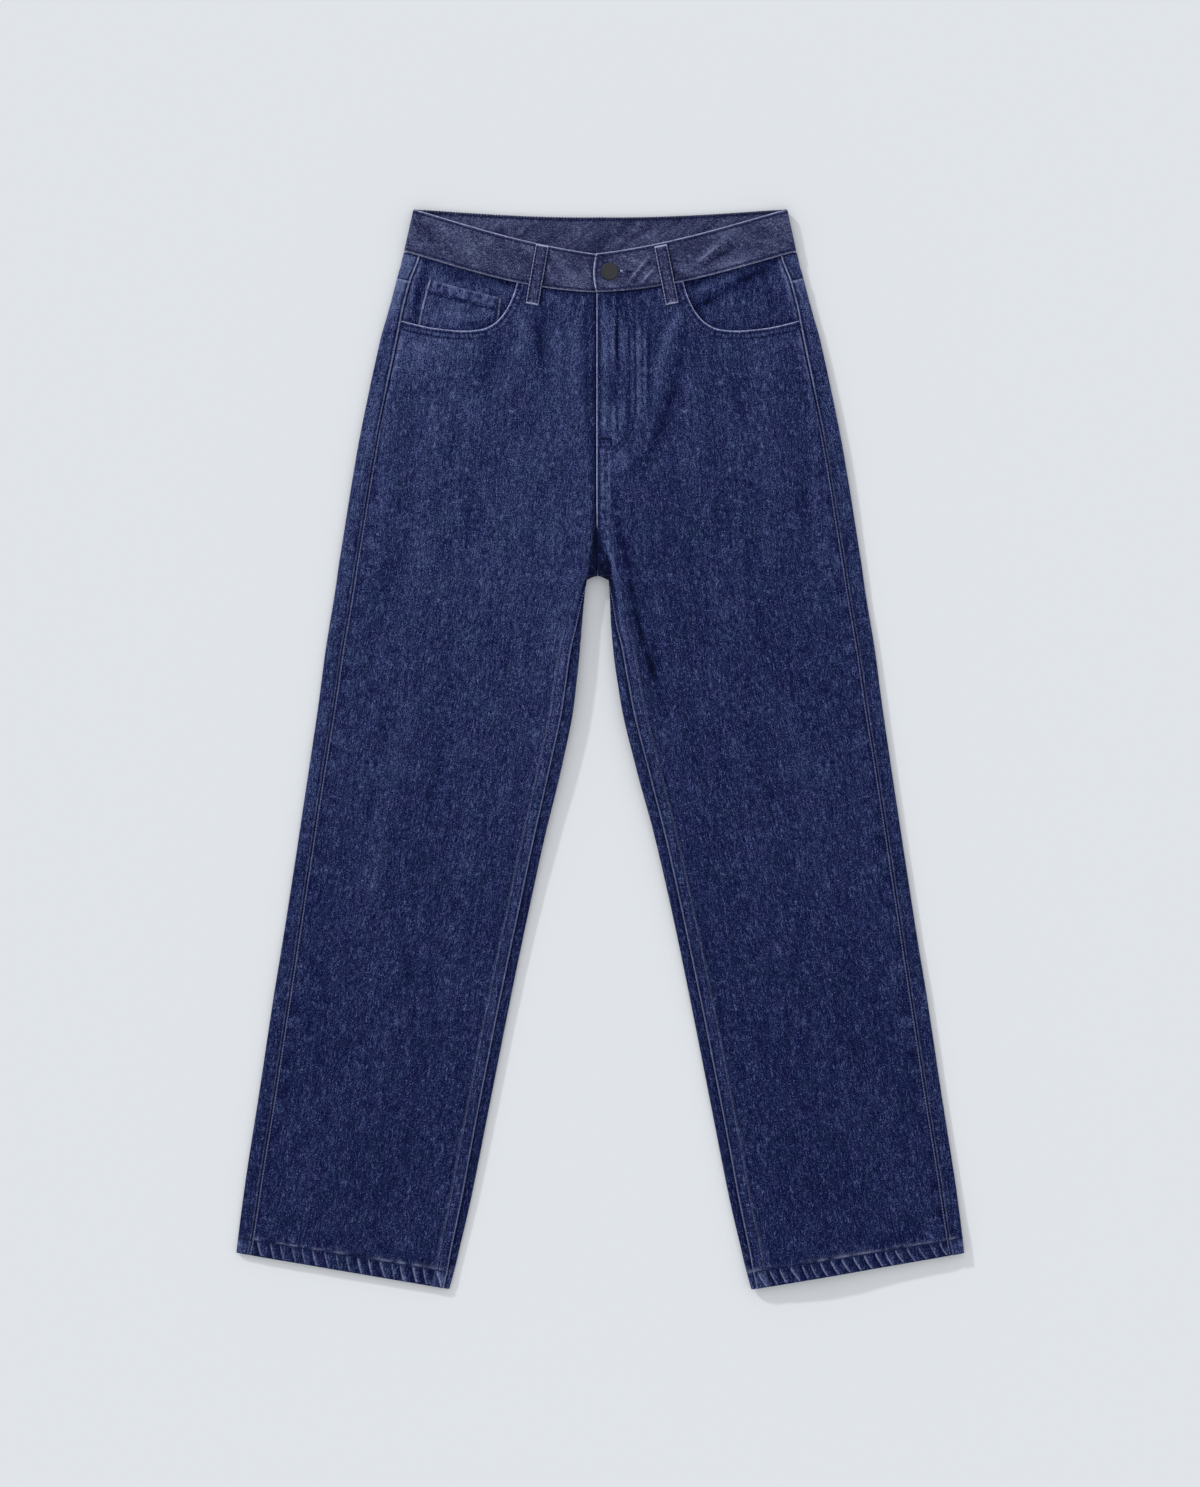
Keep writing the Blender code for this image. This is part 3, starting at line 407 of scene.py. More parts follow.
class Grid:
    """Points and outward normals over one piece: rows along it, columns across."""

    def __init__(self, rows, along, paths, spacing, outward):
        points, normals, start, end = [], [], [], []
        for path in paths:
            moved = np.diff(travelled(path[:, ::2]))
            path = path[np.concatenate([[True], moved > NORMAL_REACH / 1000])]
            length = travelled(path[:, ::2])
            at = spacing(length[-1])
            points.append(sampled(at, length, path))
            ahead = np.minimum(at + NORMAL_REACH, length[-1])
            behind = np.maximum(at - NORMAL_REACH, 0)
            run, climb = (sampled(ahead, length, path) - sampled(behind, length, path)).T[::2]
            size = np.hypot(run, climb) / outward
            normals.append(np.array([-climb / size, np.zeros_like(run), run / size]).T)
            start.append(at)
            end.append(length[-1] - at)
        self.rows, self.along = np.array(rows)[:, None], np.array(along)[:, None]
        self.points, self.normals = np.array(points), np.array(normals)
        settle(self.rows, self.points)
        self.start, self.end = np.array(start), np.array(end)
        self.below = self.along[-1, 0] - self.along
        self.height = np.zeros(self.start.shape)
        self.tone = np.ones(self.start.shape)
        self.edge = np.zeros(self.start.shape)
        self.rope = np.zeros((*self.start.shape, 2))

    @property
    def x(self):
        return self.points[..., 0]

    @property
    def y(self):
        return self.points[..., 1]

    @property
    def facing_up(self):
        return smooth_step(*FACING_WAY, self.normals[..., 2])

    @property
    def across(self):
        """Distance from the piece's middle line."""
        return (self.start - self.end) / 2

    def outside(self):
        return self.points + self.normals * self.height[..., None]

    def at(self, row, distance, from_end=False):
        """Outside points and normals at fractional rows and at distances from one end of the path."""
        row, distance = np.broadcast_arrays(np.asarray(row, float), np.asarray(distance, float))
        surface = self.outside()
        lengths = self.end[:, ::-1] if from_end else self.start
        values = np.concatenate([surface, self.normals], axis=2)
        values = values[:, ::-1] if from_end else values
        first = np.clip(np.floor(row).astype(int), 0, len(surface) - 2)
        found = []
        for r, t, d in zip(first, row - first, distance):
            upper = [np.interp(d, lengths[r], values[r, :, i]) for i in range(6)]
            lower = [np.interp(d, lengths[r + 1], values[r + 1, :, i]) for i in range(6)]
            found.append(np.array(upper) * (1 - t) + np.array(lower) * t)
        found = np.array(found)
        normals = found[:, 3:] / np.linalg.norm(found[:, 3:], axis=1)[:, None]
        return found[:, :3], normals

    def row_of(self, along):
        """Fractional row index at a distance along the piece."""
        return np.interp(along, self.along[:, 0], np.arange(len(self.along)))


def corners(index):
    """The four corners of each cell of a grid of point numbers, in turn."""
    return np.stack([index[:-1, :-1], index[:-1, 1:], index[1:, 1:], index[1:, :-1]], axis=-1)


def mesh_piece(name, vertices, polygons, look):
    """An object from arrays of polygons: each array holds polygons of one size."""
    loops = np.concatenate([np.ravel(group) for group in polygons])
    sizes = np.concatenate([np.full(len(group), np.shape(group)[1]) for group in polygons])
    used, loops = np.unique(loops, return_inverse=True)
    mesh = bpy.data.meshes.new(name)
    mesh.vertices.add(len(used))
    mesh.vertices.foreach_set("co", vertices[used].ravel())
    mesh.loops.add(len(loops))
    mesh.loops.foreach_set("vertex_index", loops.ravel())
    mesh.polygons.add(len(sizes))
    mesh.polygons.foreach_set("loop_start", np.cumsum(sizes) - sizes)
    mesh.polygons.foreach_set("loop_total", sizes)
    mesh.update(calc_edges=True)
    mesh.shade_smooth()
    mesh.materials.append(look)
    made = bpy.data.objects.new(name, mesh)
    bpy.context.scene.collection.objects.link(made)
    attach(made, "root")
    return made, used


def shell(name, outside, inside, look, grain, tone=None, edge=None, keep=None, step=1, rope=None):
    """A closed thin shell between two grids, with the attributes that its material reads.

    The inner layer has one cell for every few of the outer one, as step says."""
    rows, columns = outside.shape[:2]
    count = rows * columns
    index = np.arange(count).reshape(rows, columns)
    kept = np.ones((rows - 1, columns - 1), bool) if keep is None else keep
    lines = [np.unique(np.append(np.arange(0, size, step), size - 1)) for size in (rows, columns)]
    coarse = np.minimum.reduceat(np.minimum.reduceat(kept, lines[0][:-1], axis=0), lines[1][:-1], axis=1)
    kept = np.repeat(np.repeat(coarse, np.diff(lines[0]), axis=0), np.diff(lines[1]), axis=1)
    vertices = np.concatenate([outside.reshape(-1, 3), inside.reshape(-1, 3)])
    corner = corners(index)[rows // 2 - 1, columns // 2 - 1]
    turn = np.cross(vertices[corner[2]] - vertices[corner[0]], vertices[corner[3]] - vertices[corner[1]])
    way = -1 if np.dot(turn, vertices[corner[0]] - vertices[corner[0] + count]) < 0 else 1
    inner = corners(index[np.ix_(*lines)])[coarse] + count
    polygons = [corners(index)[kept][:, ::way], inner[:, ::-way]]
    padded = np.pad(coarse, 1)
    neighbours = (padded[:-2, 1:-1], padded[1:-1, 2:], padded[2:, 1:-1], padded[1:-1, :-2])
    for side, neighbour in enumerate(neighbours):
        for i, j in np.argwhere(coarse & ~neighbour):
            (top, bottom), (left, right) = lines[0][i:i + 2], lines[1][j:j + 2]
            run = (index[top, left:right + 1], index[top:bottom + 1, right],
                   index[bottom, left:right + 1][::-1], index[top:bottom + 1, left][::-1])[side]
            wall = np.concatenate([run[::-1], run[[0, -1]] + count])
            polygons.append(wall[None, ::way])
    made, used = mesh_piece(name, vertices, polygons, look)
    made.data.set_sharp_from_angle(angle=SHARP_FROM)
    tone = np.ones((rows, columns)) if tone is None else tone
    edge = np.zeros((rows, columns)) if edge is None else edge
    rope = np.zeros((rows, columns, 2)) if rope is None else rope
    for label, kind, field, values in (
            ("grain", "FLOAT_VECTOR", "vector", grain),
            ("rope", "FLOAT2", "vector", rope),
            ("tone", "FLOAT", "value", tone[..., None]),
            ("edge", "FLOAT", "value", edge[..., None])):
        flat = values.reshape(count, -1)
        both = np.concatenate([flat, flat])[used]
        made.data.attributes.new(label, kind, "POINT").data.foreach_set(field, both.ravel())
    return made


def grain_of(across, along):
    across, along = np.broadcast_arrays(across, along)
    return np.stack([across, along, np.zeros_like(across)], axis=-1)


# ---- Denim and the other materials

# Noises in the denim: size across and along in metres, angle, detail, roughness and shift.
SPECKS = ((0.00055, 0.0014), 0.0, 1.0, 0.6, 0.0)
DASHES = ((0.0011, 0.0064), 0.16, 1.0, 0.5, 5.0)
HUE_PATCHES = ((0.022, 0.030), 0.3, 1.0, 0.5, 15.0)
# How much each noise changes the level of the yarns' colour; the last column counts with the cloth's slub.
SPECK_WEIGHT, DASH_WEIGHT = 3.25, 0.90
TEXTURES = (
    (((0.0011, 0.0066), -0.20, 1.0, 0.5, 9.0), 0.75, 0),
    (((0.0016, 0.022), -0.05, 1.0, 0.5, 0.0), 0, 0.66),
    (((0.0050, 0.042), 0.08, 2.0, 0.5, 0.0), 0, 0.36),
    (((0.020, 0.080), 0.15, 2.0, 0.5, 0.0), 0.18, 0),
)
NOISE_MIDDLE = 0.5
RAGGED_BASE, RAGGED_SPECKS, RAGGED_DASHES = 0.95, 2.4, 1.4  # how worn edges break up over the yarns
# A low tone darkens the colour further, so that deep painted shade goes near black.
DEPTH_BASE, DEPTH_RISE = 0.40, 2.0  # brightness at a tone of 0, and its rise with tone, up to 1
CLOTH_SPECULAR = 0.08
MARK_PATCH = (1.3, 0.5)  # size of the patches where lines show, as shares of the lines' own size
MARK_SHIFT, MARK_START, MARK_RISE = 7, 0.55, 8.0  # the patches' shift, where they begin, and how fast
ROPE_RISE, ROPE_FALL = 0.46, 0.90  # level beside a ridge's line, and how much it falls up to the next
ROPE_LINE, ROPE_WEAR = 0.105, 0.42  # half width of that line in pitches, and its wear
# Colours of the yarns from the darkest to the palest, and the levels of the two between.
YARN_LEVELS = (0.33, 0.66)
YARNS = ((0.0005, 0.0026, 0.0310), (0.0160, 0.0265, 0.1010), (0.0520, 0.0715, 0.1860),
         (0.1290, 0.1570, 0.3130))
BAND_YARNS = ((0.0050, 0.0065, 0.0330), (0.0270, 0.0330, 0.0930), (0.0780, 0.0920, 0.2000),
              (0.1900, 0.2100, 0.3600))
HUE_AS_IS, HUE_DRIFT = 0.5, 0.025
WORN_EDGE = (0.410, 0.455, 0.700)
TONE_TO_LEVEL = 0.45
# Lines left by creasing, long faint ones and a fine crackle: how wide they wander and how long they run,
# their slant, width, shift and how much paler they are.
CREASE_MARKS = (((0.010, 0.055), 0.35, 0.022, 3.0, 0.26), ((0.012, 0.040), -0.5, 0.022, 11.0, 0.26),
                ((0.0030, 0.0075), 0.45, 0.055, 21.0, 0.42), ((0.0034, 0.0085), -0.40, 0.050, 27.0, 0.42),
                ((0.0056, 0.0160), 0.35, 0.034, 31.0, 0.46))
# Short pale strokes along the warp: their size, slant and shift.
STROKES = (((0.0013, 0.0100), 0.18, 2.0), ((0.0012, 0.0080), -0.25, 6.0))
STROKE_START, STROKE_RISE, STROKE_LIFT = 0.60, 6.0, 0.24


def new_material(name):
    material = bpy.data.materials.new(name)
    material.use_nodes = True
    return material, material.node_tree, material.node_tree.nodes["Principled BSDF"]


def set_inputs(node, values):
    for socket, value in values.items():
        node.inputs[socket].default_value = value


def raise_bumps(tree, height, strength, depth):
    """Fine bumps on the material of a tree, as high as height says."""
    raised = node_of(tree, "ShaderNodeBump", (
        ("Height", height), ("Strength", strength), ("Distance", depth)))
    tree.links.new(raised.outputs[0], tree.nodes["Principled BSDF"].inputs["Normal"])


def node_of(tree, kind, links=(), **values):
    """A node with its inputs set to numbers or linked to other nodes' outputs."""
    made = tree.nodes.new(kind)
    for key, value in values.items():
        setattr(made, key, value)
    for socket, value in links:
        if isinstance(value, bpy.types.NodeSocket):
            tree.links.new(value, made.inputs[socket])
        else:
            made.inputs[socket].default_value = value
    return made


def maths(tree, operation, a, b=0.0, c=0.0, clamp=False):
    made = node_of(tree, "ShaderNodeMath", ((0, a), (1, b), (2, c)), operation=operation, use_clamp=clamp)
    return made.outputs[0]


def mixed(tree, share, first, second):
    """A colour between two, by the share of the second. The sockets are numbered, as their names repeat."""
    made = node_of(tree, "ShaderNodeMix", (("Factor", share), (6, first), (7, second)), data_type="RGBA")
    return made.outputs[2]


def noise_at(tree, vector, size, angle=0.0, detail=1.0, roughness=0.5, shift=0.0):
    """Noise with features of the given size in metres, across and along, turned by an angle."""
    turned = node_of(tree, "ShaderNodeMapping", (("Vector", vector), ("Rotation", (0, 0, angle))))
    scaled = node_of(tree, "ShaderNodeMapping", (
        ("Vector", turned.outputs[0]), ("Location", (shift, shift, 0)),
        ("Scale", (1 / size[0], 1 / size[1], 1))))
    made = node_of(tree, "ShaderNodeTexNoise", (
        ("Vector", scaled.outputs[0]), ("Scale", 1.0), ("Detail", detail), ("Roughness", roughness)))
    return made.outputs[0]


def ridge_line(tree, wander, width):
    """1 where wander is at its middle, falling to 0 at width from it."""
    away = maths(tree, "ABSOLUTE", maths(tree, "SUBTRACT", wander, NOISE_MIDDLE))
    return maths(tree, "SUBTRACT", 1.0, maths(tree, "DIVIDE", away, width), clamp=True)


def marks(tree, vector, size, angle, width, shift):
    """Thin wandering lines, here and there: where one noise crosses its middle and another is high."""
    line = ridge_line(tree, noise_at(tree, vector, size, angle, shift=shift), width)
    patch = (size[0] * MARK_PATCH[0], size[1] * MARK_PATCH[1])
    place = noise_at(tree, vector, patch, angle, shift=shift + MARK_SHIFT)
    here = maths(tree, "MULTIPLY", maths(tree, "SUBTRACT", place, MARK_START), MARK_RISE, clamp=True)
    return maths(tree, "MULTIPLY", line, here)


def varied(tree, texture, weight, level):
    """A level changed by how far a texture is from its middle."""
    return maths(tree, "MULTIPLY_ADD", maths(tree, "SUBTRACT", texture, NOISE_MIDDLE), weight, level)


def yarn_colour(tree, level, dark, middle, light, pale):
    """A colour by level: darkest yarns at 0, the most common ones near a third, the palest at 1."""
    ramp = node_of(tree, "ShaderNodeValToRGB", (("Fac", level),))
    stops = ramp.color_ramp.elements
    stops[0].color, stops[1].color = (*dark, 1), (*pale, 1)
    stops.new(YARN_LEVELS[0]).color = (*middle, 1)
    stops.new(YARN_LEVELS[1]).color = (*light, 1)
    return ramp.outputs["Color"]


def rope_ridges(tree, level):
    """The hem's slanting ridges, from the "rope" attribute: their phase, and how strong they are.

    Each is a worn line, pale beside it and darker further on. Gives the changed level and that line."""
    rope = node_of(tree, "ShaderNodeAttribute", attribute_name="rope").outputs["Vector"]
    phase, strength, _ = node_of(tree, "ShaderNodeSeparateXYZ", ((0, rope),)).outputs
    fall = maths(tree, "MULTIPLY_ADD", maths(tree, "FRACT", phase), -ROPE_FALL, ROPE_RISE)
    level = maths(tree, "MULTIPLY_ADD", strength, fall, level)
    half_on = maths(tree, "FRACT", maths(tree, "ADD", phase, 0.5))
    line = ridge_line(tree, half_on, ROPE_LINE)
    return level, maths(tree, "MULTIPLY", maths(tree, "MULTIPLY", line, strength), ROPE_WEAR)


def denim(name, yarns, base, slub=1.0):
    """Washed indigo twill: mottled, slubbed along the warp, speckled, and worn where "edge" says so.

    The "tone" attribute makes it paler or darker, by wear and by painted light and shade, and "grain" is the
    place across and along the cloth."""
    material, tree, shader = new_material(name)
    grain, tone, edge = (
        node_of(tree, "ShaderNodeAttribute", attribute_name=label).outputs[output]
        for label, output in (("grain", "Vector"), ("tone", "Fac"), ("edge", "Fac")))
    specks = noise_at(tree, grain, *SPECKS)
    dashes = noise_at(tree, grain, *DASHES)
    level = maths(tree, "MULTIPLY_ADD", maths(tree, "SUBTRACT", tone, 1.0), TONE_TO_LEVEL, base)
    level = varied(tree, specks, SPECK_WEIGHT, level)
    level = varied(tree, dashes, DASH_WEIGHT, level)
    for texture, weight, slub_weight in TEXTURES:
        level = varied(tree, noise_at(tree, grain, *texture), weight + slub_weight * slub, level)
    for size, angle, shift in STROKES:
        stroke = maths(tree, "SUBTRACT", noise_at(tree, grain, size, angle, 0.0, 0.5, shift), STROKE_START)
        stroke = maths(tree, "MULTIPLY", stroke, STROKE_RISE, clamp=True)
        level = maths(tree, "MULTIPLY_ADD", stroke, STROKE_LIFT * slub, level)
    for size, angle, width, shift, lift in CREASE_MARKS:
        level = maths(tree, "MULTIPLY_ADD", marks(tree, grain, size, angle, width, shift), lift, level)
    level, crest = rope_ridges(tree, level)
    coloured = yarn_colour(tree, level, *yarns)
    ragged = varied(tree, dashes, RAGGED_DASHES, varied(tree, specks, RAGGED_SPECKS, RAGGED_BASE))
    worn = maths(tree, "MULTIPLY", maths(tree, "MAXIMUM", edge, crest), ragged, clamp=True)
    edged = mixed(tree, worn, coloured, (*WORN_EDGE, 1))
    patches = noise_at(tree, grain, *HUE_PATCHES)
    drift = maths(tree, "MULTIPLY_ADD", patches, HUE_DRIFT, HUE_AS_IS - HUE_DRIFT / 2)
    depth = maths(tree, "MULTIPLY_ADD", tone, DEPTH_RISE, DEPTH_BASE, clamp=True)
    hued = node_of(tree, "ShaderNodeHueSaturation", (
        ("Hue", drift), ("Value", depth), ("Color", edged)))
    tree.links.new(hued.outputs[0], shader.inputs["Base Color"])
    raise_bumps(tree, dashes, 0.5, 0.0004)
    set_inputs(shader, {
        "Roughness": 0.9, "Specular IOR Level": CLOTH_SPECULAR,
        "Sheen Weight": 0.06, "Sheen Roughness": 0.5, "Sheen Tint": (0.45, 0.55, 0.90, 1)})
    return material


def plain_look(name, dark, light, roughness, metallic, size, specular=CLOTH_SPECULAR):
    """A simple finish, mottled between two colours in object space with features of the given size."""
    material, tree, shader = new_material(name)
    place = node_of(tree, "ShaderNodeTexCoord").outputs["Object"]
    mottle = noise_at(tree, place, (size, size), 0.4, 2.0)
    colour = mixed(tree, mottle, (*dark, 1), (*light, 1))
    tree.links.new(colour, shader.inputs["Base Color"])
    raise_bumps(tree, mottle, 0.4, 0.0001)
    set_inputs(shader, {"Roughness": roughness, "Metallic": metallic, "Specular IOR Level": specular})
    return material


DENIM = denim("denim", YARNS, 0.130)
BAND_DENIM = denim("band_denim", BAND_YARNS, 0.250, 0.45)
THREAD = plain_look("thread", (0.072, 0.088, 0.215), (0.215, 0.245, 0.455), 0.8, 0.0, 0.0030)
KNOT_THREAD = plain_look("knot_thread", (0.40, 0.46, 0.80), (0.65, 0.72, 1.00), 0.7, 0.0, 0.0008)
DARK_THREAD = plain_look("dark_thread", (0.0025, 0.0045, 0.030), (0.010, 0.016, 0.080), 0.8, 0.0, 0.0030)
BUTTON_LOOK = plain_look("button_metal", (0.024, 0.0245, 0.029), (0.034, 0.035, 0.040), 0.50, 0.35, 0.002,
                         0.5)
TAPE_LOOK = plain_look("zip_tape", (0.012, 0.015, 0.035), (0.028, 0.032, 0.065), 0.85, 0.0, 0.001)


# ---- Soft relief, wash and painted light that all the cloth shares

# Layers of noise in the cloth's relief: the kind, what it adds to the seed, how wide and how long its
# features are, their slant, their height, and their shade.
LEG_RELIEF = (
    (layered, 0, 0.012, 0.120, 0, 0.00022, 0.14),
    (layered, 4, 0.050, 0.150, 0, 0.00030, 0.09),
    (layered, 8, 0.011, 0.055, 0.55, 0.00011, 0.07),
    (noise, 12, 0.0075, 0.019, 0, 0.00005, 0.03),
)
BAND_RELIEF = (
    (layered, 0, 0.010, 0.055, 0.9, 0.00022, 0.42),
    (layered, 4, 0.040, 0.030, 0, 0.00016, 0.24),
    (noise, 8, 0.009, 0.006, 0, 0.00005, 0.18),
)
FACING_RELIEF = (
    (layered, 0, 0.030, 0.024, 0, 0.00028, 0.22),
    (layered, 3, 0.008, 0.022, 0.4, 0.00008, 0.20),
)
COIN_RELIEF = ((layered, 0, 0.016, 0.014, 0, 0.00020, 0.20),)
PATCH_RELIEF = ((layered, 0, 0.030, 0.030, 0, 0, 0.10),)


def relief(across, along, layers, seed):
    """Height and shade of layers of noise, at places across and along the cloth."""
    height, shade = 0, 0
    for kind, offset, wide, long, slant, high, pale in layers:
        value = kind((across + slant * along) / wide, (along - slant * across) / long, seed + offset)
        height, shade = height + high * value, shade + pale * value
    return height, shade


# How bright the cloth is down each side, by its wash and by painted light: y, the right side, the left side;
# and half the width between them.
LIGHTNESS_Y = (-0.53, -0.32, 0.05, 0.35, 0.45)
LIGHTNESS_RIGHT = (0.72, 0.76, 1.00, 1.26, 1.20)
LIGHTNESS_LEFT = (0.70, 0.72, 0.89, 1.02, 1.05)
LIGHTNESS_BLEND = 0.05


# Painted light with the wash: brighter towards the waist and on the wearer's right, nearer the light.
def wash_and_painted_light(x, y):
    right, left = np.interp(y, LIGHTNESS_Y, LIGHTNESS_RIGHT), np.interp(y, LIGHTNESS_Y, LIGHTNESS_LEFT)
    return right + (left - right) * smooth_step(-LIGHTNESS_BLEND, LIGHTNESS_BLEND, x)


def soften(grid, seed):
    """Long soft bands along the warp, wide swells and small slanting creases, on the sides that show."""
    height, shade = relief(grid.across, grid.along, LEG_RELIEF, seed)
    grid.height += height * grid.facing_up
    # Wash and painted light over the whole cloth, then the creases.
    grid.tone *= wash_and_painted_light(grid.x, grid.y) * (1 + shade)
    crease(grid)
